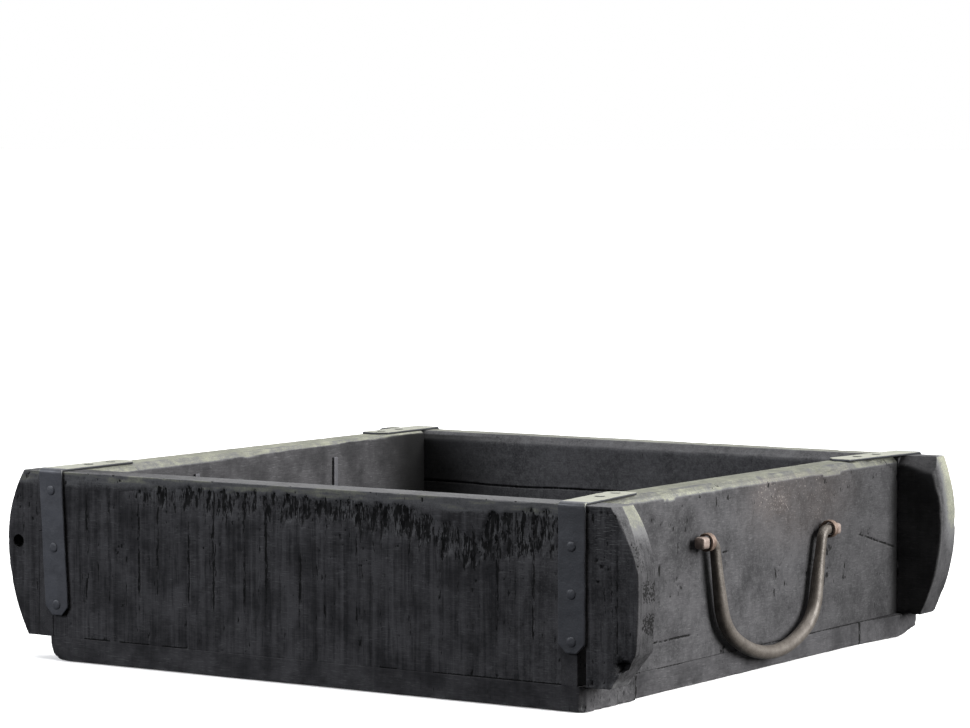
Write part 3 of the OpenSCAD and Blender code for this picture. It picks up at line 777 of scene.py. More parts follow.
def front_wall():
    """Box skin of the front wall, worn round, slotted, pulled to its ears, pierced and torn."""
    low, high = front_low, front_high
    slots = slot_edges(HAIR_GAP, WORN_GAP)
    hole = np.array([low[0] + HOLE_EDGE, EAR_CREST - HOLE_DROP])
    flat, quads = front_skin(hole, slots)
    x, y, z = flat.T
    chips = smooth(mottle(flat, (16, 12, 12), 5), 0.62, 0.74)
    radius = (0.25 + 0.3 * mottle(flat, 14, 3) + 0.6 * chips) * smooth(z, FOOT - 3, FOOT + 5)
    radius = radius + (0.35 - radius) * smooth(x, high[0] - 9, high[0] - 5)
    p = softened(flat, low, high, radius, 1.7)
    width = np.clip((z - BEVEL_FOOT) * BEVEL_SLOPE, BEVEL_LEAST, BEVEL_MOST)
    width = width + 0.8 * mottle(flat, (EVEN, EVEN, 5), 49, 2) - 0.4
    bevel = planed(p, (0, 1), (high[0], low[1]), (1, -1), width)
    planed(p, (0, 1), (high[0], high[1]), (1, 1), 1.6 + 1.4 * mottle(flat, (EVEN, EVEN, 12), 55))
    step_up(p, slots)
    foot = FOOT_CUT[0] * (1 - (p[:, 2] - FOOT) / FOOT_CUT[1]) + 2.2 * mottle(p, (9, 3, 3), 71) - 1.1
    right_drop = np.maximum(ear_drop(p[:, 2], FRONT_RIGHT_EAR), foot)
    pull_ends(p, low, high, ear_drop(p[:, 2], FRONT_LEFT_EAR), right_drop)
    quads = open_hole(p, flat, quads, hole)
    tears, marks = saw_tears(p), saw_marks(p)
    lines, dots, broken = ear_marks(p)
    pits = smooth(mottle(p, (2.2, 2.2, 3.0), 41, 2), 0.74, 0.8)
    depth = tears * (0.3 + 1.6 * mottle(p, (1.8, 90, 3.5), 29, 2)) + 0.25 * marks + 0.3 * pits
    depth += 0.5 * mottle(p, (70, 70, 40), 31, 2) + 0.6 * lines + 0.9 * dots + 3.5 * broken
    press_in(p, 1, low, high, depth, 0.6 * mottle(p, (60, 20, 25), 37, 3))
    end_face = smooth(x, high[0] - 0.8, high[0])
    pitted, zone = ear_pits(flat, end_face, bevel)
    right_tip = smooth(x, high[0] - 14, high[0] - 2)
    p[:, 0] -= right_tip * 0.8 * zone * mottle(flat, (30, 2.2, 3.0), 45, 2)
    on_front = smooth(y, FRONT + 2, FRONT)
    bare = front_wear(p, flat, bevel, end_face, on_front, tears)
    seam = np.max([(p[:, 0] > start) & (p[:, 0] < end) for start, end in SEAM_DASHES], axis=0)
    seam = seam * smooth(z, FOOT + 1.1, FOOT + 0.4)
    torn = on_front * np.maximum.reduce([tears, 0.74 * marks, lines, dots, broken, 0.6 * pits, seam])
    scratched = on_front * smooth(p[:, 0], RIGHT + 4, RIGHT + 10) * smooth(p[:, 2], TOP - 36, TOP - 24)
    make_piece("front_wall_board", p, quads, "box", "charcoal_wood", WOOD_SAWN, ["front_wall"], bare=bare,
               torn=torn, pitted=pitted, scratched=scratched, sooty=0.25 * end_face * span(z, *EAR_DARK_BAND))


front_wall()

# %% [markdown]
# The back wall is the same kind of board. The camera looks at its inner face, where a long crack follows the
# grain and painted shade darkens it towards the left corner, and at its right ear, painted black inside as
# shade, with a painted highlight along its rim.
# Cracks are grooves: the distance from a wandering line, put through a steep step, says how deep the wood
# opens.

# %% Back wall
CRACK_HEIGHT, CRACK_WIDTH = TOP - 31.0, 0.9
CORNER_SHADE_START, CORNER_SHADE_FULL = LEFT + 100, LEFT + 30


def groove(distance, width):
    """Depth of a crack from 0 to 1, by the distance from its line."""
    return smooth(np.abs(distance), width, 0.15 * width)


def back_wall():
    """Box skin of the back wall, with a long crack inside and saw marks outside."""
    low, high = back_low, back_high
    slots = slot_edges(TENON_GAP, 0)
    xs = breaks(low[0], high[0], 1.6, twins(*np.ravel(slots)))
    ys = breaks(low[1], high[1], 3.0, low[1] + np.arange(0, 11, 1.0))
    zs = breaks(low[2], high[2], 1.6, np.arange(CRACK_HEIGHT - 4, CRACK_HEIGHT + 4, 0.4))
    flat, quads = box_skin(xs, ys, zs)
    x, y, z = flat.T
    ear = smooth(x, RIGHT - 8, RIGHT + 2)
    chips = smooth(mottle(flat, (14, 12, 10), 105), 0.6, 0.72)
    p = softened(flat, low, high, 0.6 + 0.9 * mottle(flat, 14, 103) + 1.4 * chips, 1.6)
    width = 4.2 + 1.2 * mottle(flat, (30, EVEN, EVEN), 127) + 4.5 * smooth(x, RIGHT, high[0])
    bevel = planed(p, (1, 2), (low[1], TOP), (-1, 1), width)
    corner = 2.5 * smooth(z, TOP - 30, TOP - 6) + 2.2 * mottle(flat, (EVEN, EVEN, 5), 129, 2) - 0.6
    planed(p, (0, 1), (high[0], low[1]), (1, -1), np.maximum(corner, 0))
    step_up(p, slots)
    pull_ends(p, low, high, ear_drop(p[:, 2], BACK_LEFT_EAR), ear_drop(p[:, 2], BACK_RIGHT_EAR))
    line = p[:, 2] - CRACK_HEIGHT - 2.4 * (mottle(p, (45, EVEN, EVEN), 107) - 0.5)
    crack = groove(line, CRACK_WIDTH) * smooth(mottle(p, (60, EVEN, EVEN), 109), 0.34, 0.46)
    marks = smooth(mottle(p, (3.8, 90, 140), 111, 3), 0.55, 0.72) * smooth(p[:, 2], FOOT + 6, FOOT + 30)
    tears = smooth(mottle(p, (3.4, 90, 9), 113, 3), 0.62, 0.7) * smooth(TOP - p[:, 2], 26, 10)
    rough = 0.5 * mottle(p, (50, 20, 7), 115, 3)
    strip = 0.3 * smooth(TOP - z + 1.6 * mottle(p, (40, EVEN, EVEN), 125), 8.0, 6.0)
    depth = 0.3 * marks + tears * (0.6 + mottle(p, 2.6, 117, 2)) + rough
    press_in(p, 1, low, high, 1.1 * crack + 0.9 * rough, depth)
    top = 0.8 * smooth(z, TOP - 0.8, TOP) * (1 - bevel)
    end_face = smooth(x, high[0] - 0.8, high[0]) + smooth(x, low[0] + 0.8, low[0])
    edge = 0.85 * smooth(edge_distance(flat, low, high), 3.2, 0.2) * mottle(p, 9, 119) * (1 - bevel)
    inside, outside = smooth(y, INNER_BACK + 2, INNER_BACK), smooth(y, BACK - 2, BACK)
    # Painted highlight: the right ear's end is paler along its rim.
    rim = smooth(y, BACK - 18, BACK - 6) * smooth(z, 42, 78) * smooth(x, 0, 1)
    ear_end = end_face * (0.1 + 0.25 * mottle(p, (9, 9, 14), 121) + 0.7 * rim)
    planed_wood = bevel * (0.2 + 0.25 * mottle(p, 5, 123))
    bare = np.maximum.reduce([np.maximum(top, planed_wood) * (1 - 0.6 * ear), ear_end, edge,
                              np.maximum(strip, 0.32 * inside) * (1 - ear)])
    torn = np.maximum(outside * np.maximum(tears, 0.45 * marks), (1 - outside) * crack)
    # Painted shade: the inner face darkens towards the left corner and inside the right ear; the end faces
    # are darker except along the rim, and the right ear's bevel is darker too.
    corner_shade = inside * smooth(p[:, 0], CORNER_SHADE_START, CORNER_SHADE_FULL)
    sooty = np.maximum.reduce([0.6 * inside * ear * (1 - bevel), 0.3 * end_face * (1 - rim),
                               0.4 * bevel * ear, 0.86 * corner_shade])
    make_piece("back_wall_board", p, quads, "box", "charcoal_wood", WOOD_PLAIN, ["back_wall"],
               bare=bare, torn=torn, sooty=sooty)


back_wall()

# %% [markdown]
# An end wall sits between the long walls and has a tenon at each end that passes through them. As a box skin
# it is a rectangle carried along Y that steps down to a smaller rectangle at its shoulders. Its outer face is
# smoother than the front, with shallow pits, short cracks and a brown patch below the top where hands rubbed
# it. A painted shadow darkens the wall along the hanging handle's line, and painted shade darkens the
# corners.

# %% Marks of the end walls
RIGHT_CRACKS = [((-108, 27), (-72, 27)), ((118, 63.5), (161, 52.5)), ((-37, 67.5), (-25, 68.5))]
LEFT_CRACKS = [((-120, 60), (-70, 56)), ((40, 34), (88, 30)), ((110, 82), (140, 84))]
RIGHT_SCARS = [(-103, 63.3, 3.0, 5.0), (-88.9, 84.7, 2.6, 2.0), (-93, 87.2, 2.0, 2.0),
               (-110.2, 90.9, 3.6, 1.8), (-101.1, 88.4, 2.2, 2.2), (-92.1, 50.1, 3.4, 1.5),
               (-80.5, 53.3, 2.2, 2.6), (-84.9, 58.1, 1.8, 2.2)]
LEFT_SCARS = [(-60, 66, 2.4, 1.4), (20, 48, 1.4, 3.0), (96, 58, 2.6, 1.2)]
# Painted shadow of the hanging handle: a dark U on the wall along the handle's line.
HANDLE_SHADOW_MIDDLE, HANDLE_SHADOW_TOP, HANDLE_SHADOW_REACH, HANDLE_SHADOW_POWER = 4.0, 69.0, 59.2, 2.4
HANDLE_SHADOW_SKEW, HANDLE_SHADOW_TILT = 0.03, 0.035
BROWN_DROP, BROWN_SHIFT, BROWN_WIDE, BROWN_CLOSE = 12, (30, 0), (90, 40), (42, 22)


def line_distance(y, z, start, end):
    """Distance of points in the plane of Y and Z from the line between two points."""
    a, b = np.array(start, float), np.array(end, float)
    along = b - a
    off = np.stack([y, z], axis=1) - a
    t = np.clip(off @ along / (along @ along), 0, 1)
    return np.linalg.norm(off - t[:, None] * along, axis=1)


def short_cracks(p, cracks, seed):
    """Depth of short cracks, from 0 to 1: grooves along straight lines that wander and break off."""
    wander = 0.8 * (mottle(p, (EVEN, 14, EVEN), seed + 3) - 0.5)
    lines = [groove(line_distance(p[:, 1], p[:, 2] + wander, *c), CRACK_WIDTH) for c in cracks]
    return np.max(lines, axis=0) * smooth(mottle(p, (EVEN, 6, EVEN), seed + 7), 0.28, 0.5)


def wall_pits(p, scars, seed):
    """Shallow pits, from 0 to 1: small spots of noise in patches of larger noise, and single scars."""
    spots = smooth(mottle(p, (30, 4, 4), seed + 4, 3), 0.62, 0.70)
    spots = spots * smooth(mottle(p, (90, 40, 25), seed + 5), 0.42, 0.6)
    return np.maximum.reduce([spots] + [smooth(np.hypot((p[:, 1] - y) / wide, (p[:, 2] - z) / tall), 1.0, 0.4)
                                        for y, z, wide, tall in scars])


def brown_rub(p, middle, seed):
    """Brown where hands rubbed, from 0 to 1: a wide weak oval and a close strong one, mottled."""
    off = np.stack([p[:, 1] - middle, p[:, 2] - TOP + BROWN_DROP], axis=1)
    wide = 0.42 * smooth(np.linalg.norm((off - BROWN_SHIFT) / BROWN_WIDE, axis=1), 1.0, 0.3)
    close = 0.85 * smooth(np.linalg.norm(off / BROWN_CLOSE, axis=1), 1.0, 0.1)
    return np.maximum(wide, close) * (0.3 + 0.9 * mottle(p, (30, 10, 8), seed + 11))


def painted_handle_shadow(p, seed):
    """Painted shadow of the hanging handle on the wall: close to a rounded U, the lower half of a
    superellipse.
    """
    across = p[:, 1] - HANDLE_SHADOW_MIDDLE - HANDLE_SHADOW_SKEW * (HANDLE_SHADOW_TOP - p[:, 2])
    down = p[:, 2] - HANDLE_SHADOW_TOP + HANDLE_SHADOW_TILT * (p[:, 1] - HANDLE_SHADOW_MIDDLE)
    powers = np.abs(across / HANDLE_SHADOW_REACH) ** HANDLE_SHADOW_POWER + np.abs(down / HANDLE_SHADOW_REACH) ** HANDLE_SHADOW_POWER
    close = smooth(np.abs(powers ** (1 / HANDLE_SHADOW_POWER) - 1) * HANDLE_SHADOW_REACH, 6.5, 2.5) * smooth(down, 4.0, 0.0)
    return close * (0.25 + 0.45 * mottle(p, (90, 14, 14), seed + 14))


def end_shade_and_darkening(p, on_outer, top_face, outer_high, seed):
    """Painted shade and darkening from 0 to 1: darker on the outer face towards the back, painted shade in
    its far corner and painted shadow under the handle, painted shade on the inner face towards the back
    corner, and thin painted shade on the right wall's top."""
    y, z = p[:, 1], p[:, 2]
    corner = smooth(np.hypot((y - INNER_BACK) / 14, (z - FOOT - 4) / 16), 1.0, 0.2)
    shaded = outer_high * smooth(y, INNER_BACK - 13, INNER_BACK - 1) ** 1.5
    outer = 0.05 + 0.26 * smooth(y, -20, 130) + np.maximum(0.5 * corner, 0.55 * shaded)
    inner = (1 - on_outer) * (1 - top_face) * smooth(y, INNER_BACK - 74, INNER_BACK - 14)
    return np.maximum.reduce([on_outer * np.maximum(outer, painted_handle_shadow(p, seed)), 0.95 * inner ** 1.3,
                              0.28 * outer_high * top_face])


print("end walls:", len(RIGHT_CRACKS + LEFT_CRACKS), "cracks and", len(RIGHT_SCARS + LEFT_SCARS), "scars")

# %% [markdown]
# Both end walls come from one function. It is told which of the two faces across X is the outer one, because
# the tenons lie flush with that face and the cracks, pits and rubs belong on it.

# %% End walls
def end_wall(name, low, high, outer_high, cracks, scars, brown_middle, seed):
    """Box skin of an end wall with its two tenons, worn and cracked on its outer face."""
    outer = high[0] if outer_high else low[0]
    ys = breaks(low[1], high[1], 1.25, twins(INNER_FRONT, INNER_BACK), INNER_FRONT + CLOSE_STEPS,
                INNER_BACK - CLOSE_STEPS)
    rows = [np.arange(min(a[1], b[1]) - 1.5, max(a[1], b[1]) + 1.5, 0.4) for a, b in cracks]
    flat, quads = box_skin(breaks(low[0], high[0], 4.0), ys, breaks(low[2], high[2], 1.5, *rows))
    x, y, z = flat.T
    chips = smooth(mottle(flat, (12, 18, 10), seed + 1), 0.62, 0.74)
    radius = 0.5 + 0.9 * mottle(flat, 12, seed + 2) + 1.3 * chips * smooth(z, FOOT + 20, TOP - 20)
    between = smooth(z, FOOT + 1, FOOT + 8) * (np.abs(y) < INNER_BACK)
    p = softened(flat, low, high, 0.15 + (radius - 0.15) * between, 1.8)
    ragged = mottle(flat, (EVEN, 12, EVEN), seed + 12) + 0.6 * chips
    near = smooth(y, INNER_BACK, INNER_FRONT)
    width = 2.6 + 2.4 * ragged if outer_high else 0.8 + 2.6 * near + 1.2 * ragged
    bevel = planed(p, (0, 2), (high[0], TOP), (1, 1), width)
    tenon = (p[:, 1] < INNER_FRONT) | (p[:, 1] > INNER_BACK)
    p[tenon, 0] = outer + (p[tenon, 0] - outer) * TENON_THICK / (high[0] - low[0])
    p[tenon, 2] = FOOT + (p[tenon, 2] - FOOT) * TENON_HIGH / (TOP - FOOT)
    crack, pits = short_cracks(p, cracks, seed), wall_pits(p, scars, seed)
    brown = brown_rub(p, brown_middle, seed)
    outer_in = ~tenon * (0.5 * crack + 0.3 * pits + 0.22 * brown * mottle(p, 2.5, seed + 8, 2))
    outer_in = outer_in + 0.45 * mottle(p, (60, 70, 40), seed + 6, 2)
    inner_in = ~tenon * 0.5 * mottle(p, (30, 40, 9), seed + 9, 3)
    press_in(p, 0, low, high, *((inner_in, outer_in) if outer_high else (outer_in, inner_in)))
    on_outer = smooth(np.abs(x - outer), 2, 0)
    top_face = smooth(z, TOP - 0.8, TOP)
    edge = smooth(edge_distance(flat, low, high), 3.2, 0.2) * mottle(p, 10, seed + 10)
    edge *= 0.85 * smooth(z, FOOT + 4, FOOT + 14)
    rubbed = bevel * (0.58 + 0.4 * mottle(p, (90, 7, 7), seed + 13))
    bare = np.maximum.reduce([0.9 * top_face * (1 - bevel), rubbed, edge, 0.2 * on_outer]) * ~tenon
    make_piece(name + "_board", p, quads, "box", "charcoal_wood", WOOD_ACROSS, [name], bare=bare,
               sooty=end_shade_and_darkening(p, on_outer, top_face, outer_high, seed),
               torn=on_outer * np.maximum(crack, 0.62 * pits), brown=on_outer * brown * 0.8)


end_wall("right_end_wall", right_low, right_high, True, RIGHT_CRACKS, RIGHT_SCARS, 18, 200)
end_wall("left_end_wall", left_low, left_high, False, LEFT_CRACKS, LEFT_SCARS, -30, 300)

# %% [markdown]
# The floor is two runners under the long walls with cross boards between them. They are plain planks, so one
# function wears any of them: rounder where the box is dragged over the ground, rough at the sawn ends and
# dark along the joints. The back runner's right end is also a little skew and worn upwards behind.

# %% Floor planks
UNDER_WEAR = 0.25
RISE_DEPTH, RISE_START, RISE_FULL = 24, 44, 16
SKEW_WIDTH, SKEW_LENGTH = 46, 30


def plank_joints(p, flat, low, high, ends, end_rough, seed):
    """Dark joints of a plank, from 0 to 1: broken lines along its upright edges, and a runner's inner edge
    where its end shows."""
    from_sides = np.sort(np.concatenate([flat[:, :2] - low[:2], high[:2] - flat[:, :2]], axis=1), axis=1)
    outside = smooth(np.minimum(flat[:, 1] - FRONT, BACK - flat[:, 1]), 1, 3)
    top_edge = smooth(from_sides[:, 0], 0.7, 0.1) * smooth(edge_distance(flat, low, high), 0.7, 0.1)
    joint = outside * np.maximum(smooth(from_sides[:, 1], 0.9, 0.2), top_edge)
    joint *= smooth(mottle(flat, (EVEN, 14, EVEN), 431, 1) + 1.2 * smooth(flat[:, 1], -34, -14), 0.66, 0.74)
    inner = np.abs(flat[:, 1] - (high[1] if high[1] < 0 else low[1]))
    open_joint = smooth(ends, 0.6, 0) * (end_rough > 0.2) * smooth(inner, 3.4, 1.2)
    return np.maximum(joint, open_joint * smooth(mottle(p, (EVEN, EVEN, 3), seed + 6), 0.2, 0.4))


def plank(node, grain_axis, step, seed, corner=0.0, end_rough=0.2, back_rise=0.0, skew=0.0):
    """Box skin of a plank with worn edges, a slightly worn under face and rough ends."""
    low, high = node_box(node)
    flat, quads = box_skin(*[breaks(low[a], high[a], step if a < 2 else 2.0) for a in range(3)])
    x, y, z = flat.T
    left_end = smooth(x, low[0] + 14, low[0]) * smooth(z, FOOT * 0.75, 0)
    radius = 0.2 + 0.9 * mottle(flat, 15, seed) * smooth(z, FOOT, FOOT * 0.6) + corner * left_end
    p = softened(flat, low, high, np.minimum(radius, FOOT * 0.48), 1.8)
    planed(p, (0, 1), (high[0], low[1]), (1, -1), 3.0 * smooth(end_rough, 0.5, 1.0))
    near_joint = smooth(p[:, 1], low[1] + SKEW_WIDTH, low[1])
    p[:, 0] -= skew * near_joint * np.clip((p[:, 0] - high[0] + SKEW_LENGTH) / SKEW_LENGTH, 0, 1)
    size = np.full(3, 5.0)
    size[grain_axis] = 40.0
    wave = 0.35 * mottle(p, size, seed + 1, 3)
    rise = back_rise * np.clip((y - BACK + RISE_DEPTH) / RISE_DEPTH, 0, 1) ** 1.5
    rise *= smooth(x, high[0] - RISE_START, high[0] - RISE_FULL)
    open_top = smooth(np.abs(y), INNER_BACK, INNER_BACK - 4)
    press_in(p, 2, low, high, UNDER_WEAR + wave + rise, wave * open_top)
    press_in(p, 1 - grain_axis, low, high, wave, wave)
    torn_end = end_rough * smooth(mottle(p, (2.5, 2.5, 3), seed + 2, 3), 0.35, 0.75)
    press_in(p, grain_axis, low, high, torn_end, torn_end)
    ends = np.minimum(flat[:, grain_axis] - low[grain_axis], high[grain_axis] - flat[:, grain_axis])
    on_end = smooth(ends, 0.6, 0) * smooth(end_rough, 0.2, 0.8)
    low_edge = smooth(edge_distance(flat, low, high), 2.4, 0.2) * mottle(p, 8, seed + 3)
    low_edge *= 0.6 * smooth(z, FOOT * 0.9, FOOT * 0.5)
    bare = np.maximum(low_edge, on_end * (0.08 + 0.24 * mottle(p, 3, seed + 4)))
    joint = 0.8 * plank_joints(p, flat, low, high, ends, end_rough, seed)
    torn = np.maximum(joint, on_end * (0.05 + 0.3 * mottle(p, (30, 5, 5), seed + 5)))
    wood = (WOOD_PLAIN, WOOD_ACROSS)[grain_axis]
    make_piece(node + "_plank", p, quads, "box", "charcoal_wood", wood, [node], bare=bare, torn=torn)


plank("front_runner", 0, 1.6, 400, corner=4.5, end_rough=1.0)
plank("back_runner", 0, 1.8, 420, corner=3.0, end_rough=0.5, back_rise=4.5, skew=3.3)
for number in range(1, 6):
    plank(f"floor_board_{number}", 1, 2.2, 420 + 20 * number)

# %% [markdown]
# The ironwork has three finishes. The straps and nails carry the same dark coat as the wood, but it lies
# smooth and satin on the metal and is pale along the top, as dust and as a painted sheen. The handles are
# bare forged rod, brown-grey with bright rubbed ridges and pale heads, partly pinkish iron and partly a
# painted highlight, and the split pins that hold them have rusted to a dull pinkish brown.

# %% Iron finishes
COAT_DARK = (0.0425, 0.0446, 0.0525, 1)
COAT_LIGHT = (0.070, 0.073, 0.083, 1)
RUBBED_AND_SHEEN_IRON = (0.235, 0.238, 0.188, 1)
COAT_SHINE, COAT_RELIEF, FORGED_RELIEF = 0.45, 0.25, 0.45
ROD_DARK = (0.055, 0.046, 0.038, 1)
ROD_LIGHT = (0.106, 0.093, 0.080, 1)
RUST_DARK = (0.070, 0.045, 0.032, 1)
RUST_LIGHT = (0.20, 0.145, 0.115, 1)
TIP_PALE = (0.25, 0.195, 0.168, 1)


def coated_iron(name):
    """Dark satin coat on iron: cloudy, pale by a soft limit on its mark plus grit, as rubbed wear and painted
    sheen, and darkened as painted shade where marked.
    """
    material, tree, shader = new_finish(name)
    shader.inputs["Specular IOR Level"].default_value = COAT_SHINE
    cloud = speckle(tree, 9, 5, 0.6)
    grit = speckle(tree, 0.9, 3, 0.6)
    coat = mixed(tree, ramp(tree, cloud, 0.36, 0.66), COAT_DARK, COAT_LIGHT)
    rubbed = ramp(tree, total(tree, mark_of(tree, "bare"), swing(tree, grit, 0.9)), 0.5, 0.8)
    colour = mixed(tree, mark_of(tree, "sooty"), mixed(tree, rubbed, coat, RUBBED_AND_SHEEN_IRON), PIT_AND_SHADE_BLACK)
    relief = total(tree, cloud, times(tree, grit, 0.25))
    rough = ramp(tree, cloud, 0.3, 0.7, 0.5, 0.36)
    finish_with(tree, shader, colour, rough, raised(tree, relief, COAT_RELIEF))
    return material


def bare_iron(name, dark, light, rough_low, rough_high, metal):
    """Forged iron: brown in its hollows, pale on what rubs, pale at its tips partly as a painted highlight,
    dark where it is coated.
    """
    material, tree, shader = new_finish(name)
    shader.inputs["Metallic"].default_value = metal
    cloud, grit = speckle(tree, 5, 5, 0.65), speckle(tree, 0.7, 4, 0.65)
    tone = total(tree, times(tree, cloud, 0.65), times(tree, grit, 0.35))
    worn = total(tree, ramp(tree, tone, 0.34, 0.68), times(tree, mark_of(tree, "bare"), 0.6))
    colour = mixed(tree, ramp(tree, worn, 0.0, 1.15), dark, light)
    # Pale tips, partly a painted highlight.
    colour = mixed(tree, mark_of(tree, "tip"), colour, TIP_PALE)
    colour = mixed(tree, mark_of(tree, "coated"), colour, COAT_LIGHT)
    rough = ramp(tree, tone, 0.3, 0.7, rough_high, rough_low)
    finish_with(tree, shader, colour, rough, raised(tree, tone, FORGED_RELIEF))
    return material


STRAP_IRON = coated_iron("strap_iron")
ROD_IRON = bare_iron("forged_rod", ROD_DARK, ROD_LIGHT, 0.42, 0.6, 0.35)
PIN_IRON = bare_iron("rusty_pin", RUST_DARK, RUST_LIGHT, 0.45, 0.75, 0.3)
for group in ("runner_nails_group", "board_nails_group"):
    for material_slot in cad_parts[group].material_slots:
        material_slot.material = PIN_IRON
print("finishes:", STRAP_IRON.name, ROD_IRON.name, PIN_IRON.name)

# %% [markdown]
# The four corners of the box are mirror images, apart from a few sizes. So straps and nails are worked out
# once, in a corner's own axes: inwards from the two outer faces, and up. Mirroring along one axis turns a
# skin inside out, so the order of its faces is then reversed.

# %% Corners
STRAP_W, STRAP_T, STRAP_TAIL, STRAP_CORNER, BEND, STRAP_EDGE = 16.5, 1.6, 6.0, 5.0, 0.7, 0.45
LEG_NAILS = {False: (10.5, 42.0, 73.5), True: (21.0, 45.0, 69.0)}
RUN_NAILS = (32.0, 51.0)
STRAP_INSET = {False: 9.4, True: 3.0}
STRAP_LEAN = {False: 4.4, True: 0.0}
RUN_TURN = {False: 0.0, True: math.tan(math.radians(7.0))}
CORNERS = {"front_left": (False, False, 66.0), "front_right": (True, False, 61.0),
           "back_left": (False, True, 60.0), "back_right": (True, True, 71.0)}
# Painted shade on the legs: the front right leg is darkened most, the back legs a little.
LEG_DARKENING = {"front_left": 0.0, "front_right": 0.34, "back_left": 0.1, "back_right": 0.1}


def at_corner(p, right, back):
    """Moves points from a corner's own axes, inwards from its two outer faces, into the frame."""
    x = RIGHT - p[:, 0] if right else LEFT + p[:, 0]
    y = BACK - p[:, 1] if back else FRONT + p[:, 1]
    return np.stack([x, y, p[:, 2]], axis=1)


def turned(faces, right, back):
    """Faces in the order that points outwards after one or two mirrorings."""
    return faces[:, ::-1] if right != back else faces


print("corners:", *CORNERS)

# %% [markdown]
# A strap is a flat strip bent once, over the top edge of a long wall. Its skin is made straight, as a box of
# width, length and thickness, and then every vertex is carried round the bend: up the leg, through a quarter
# turn and along the run. The free ends have their corners cut, as with shears. The run is pale, as dust and
# as a painted sheen, the narrow sides are darkened as painted shade, and the legs are not all equally dark,
# the front right one darkened as painted shade.

# %% Straps
def strap(corner, seed):
    """A strip carried up the leg, round a quarter turn and along the run, its ends cut at the corners."""
    right, back, run = CORNERS[corner]
    leg = LEG_NAILS[right][-1] + STRAP_TAIL
    rise, turn = leg - BEND, math.pi / 2 * (BEND + STRAP_T / 2)
    length = rise + turn + run - BEND
    half = STRAP_W / 2
    low, high = np.array([-half, 0, 0]), np.array([half, length, STRAP_T])
    ss = breaks(0, length, 1.6, rise + turn * np.linspace(0, 1, 9), STRAP_CORNER, length - STRAP_CORNER)
    flat, quads = box_skin(breaks(-half, half, 1.6), ss, np.linspace(0, STRAP_T, 6))
    from_edge = edge_distance(flat, low, high)
    p = softened(flat, low, high, STRAP_EDGE)
    x, s, h = p.T
    cut_foot = np.clip(half - STRAP_CORNER + s, 0, half)
    cut_run = np.where(x > 0, np.clip(half - STRAP_CORNER + length - s, 0, half), half)
    x = x * np.minimum(cut_foot, cut_run) / half
    x = x - np.sign(x) * 0.5 * mottle(np.stack([np.sign(x), s, h * 0], axis=1), (1, 11, 1), seed)
    h = h * (1 - 0.16 * mottle(p, (9, 9, EVEN), seed + 1) * smooth(h, 0.4, STRAP_T))
    angle = np.clip((s - rise) / turn, 0, 1) * math.pi / 2
    y = BEND - (BEND + h) * np.cos(angle) + np.maximum(s - rise - turn, 0)
    z = TOP - BEND + (BEND + h) * np.sin(angle) - np.maximum(rise - s, 0)
    x = x + STRAP_INSET[right] + STRAP_LEAN[right] * np.clip((TOP - z) / leg, 0, 1)
    x = x + RUN_TURN[right] * np.maximum(y, 0)
    placed = at_corner(np.stack([x, y, z], axis=1), right, back)
    edge = 0.4 * smooth(from_edge, 0.9, 0.1) * mottle(p, 7, seed + 2)
    # The bend is rubbed pale, partly wear and partly a painted highlight.
    bend = smooth(np.abs(s - rise - turn / 2), 3.5, 0.5)
    bend *= 0.5 * mottle(p, 4, seed + 3) + 0.35 * smooth(from_edge, 2.0, 0.3)
    # Painted sheen and dust: the top of the run is pale.
    dust_and_sheen = 0.88 * smooth(s, rise + turn, rise + turn + 3) * smooth(flat[:, 2], STRAP_T - 0.4, STRAP_T)
    # Painted shade: the narrow sides are darkened.
    side = 0.85 * (np.abs(flat[:, 0]) > half - 0.01) * smooth(flat[:, 2], 0.8 * STRAP_T, 0.4 * STRAP_T)
    make_piece("strap_" + corner + "_iron", placed, turned(quads, not right, back), "box", "strap_iron",
               STRAP_IRON, ["strap_" + corner], bare=np.maximum.reduce([edge, bend, dust_and_sheen]),
               sooty=np.maximum(side, LEG_DARKENING[corner] * smooth(s, rise + 2, rise)))


for seed, corner in enumerate(CORNERS):
    strap(corner, 500 + 10 * seed)

# %% [markdown]
# Old strap nails have low hammered heads. A nail is a profile turned round its axis: radius and height are
# lists that run from the tip of the shank, out under the head and over its dome, and each nail gets its own
# slightly uneven rim.

# %% Strap nails
NAIL_PROFILE = np.array([(0.35, -15.0), (1.15, -12.5), (1.2, -0.3), (1.25, -0.02), (2.6, 0.0), (2.78, 0.1),
                         (2.7, 0.22), (2.45, 0.3), (1.3, 0.35), (0.5, 0.37)])
NAIL_SIDES = 28


def tube_faces(rows, sides):
    """Quads between the rings of a tube, and triangles to two tips that are stored after the rings."""
    grid = np.arange(rows * sides).reshape(rows, sides)
    nxt = np.roll(grid, -1, axis=1)
    quads = np.stack([grid[:-1], nxt[:-1], nxt[1:], grid[1:]], axis=-1).reshape(-1, 4)
    first = np.stack([nxt[0], grid[0], np.full(sides, rows * sides)], axis=1)
    last = np.stack([grid[-1], nxt[-1], np.full(sides, rows * sides + 1)], axis=1)
    return quads, np.concatenate([first, last])


def lathe(profile, sides):
    """A profile of radius and height turned round an axis, with a tip in the middle of either end."""
    angle = np.arange(sides) * 2 * math.pi / sides
    around = profile[:, None, 0, None] * np.stack([np.cos(angle), np.sin(angle)], axis=1)
    height = np.broadcast_to(profile[:, None, 1, None], around.shape[:2] + (1,))
    points = np.concatenate([around, height], axis=2).reshape(-1, 3)
    return np.concatenate([points, [[0, 0, profile[0, 1]], [0, 0, profile[-1, 1]]]])


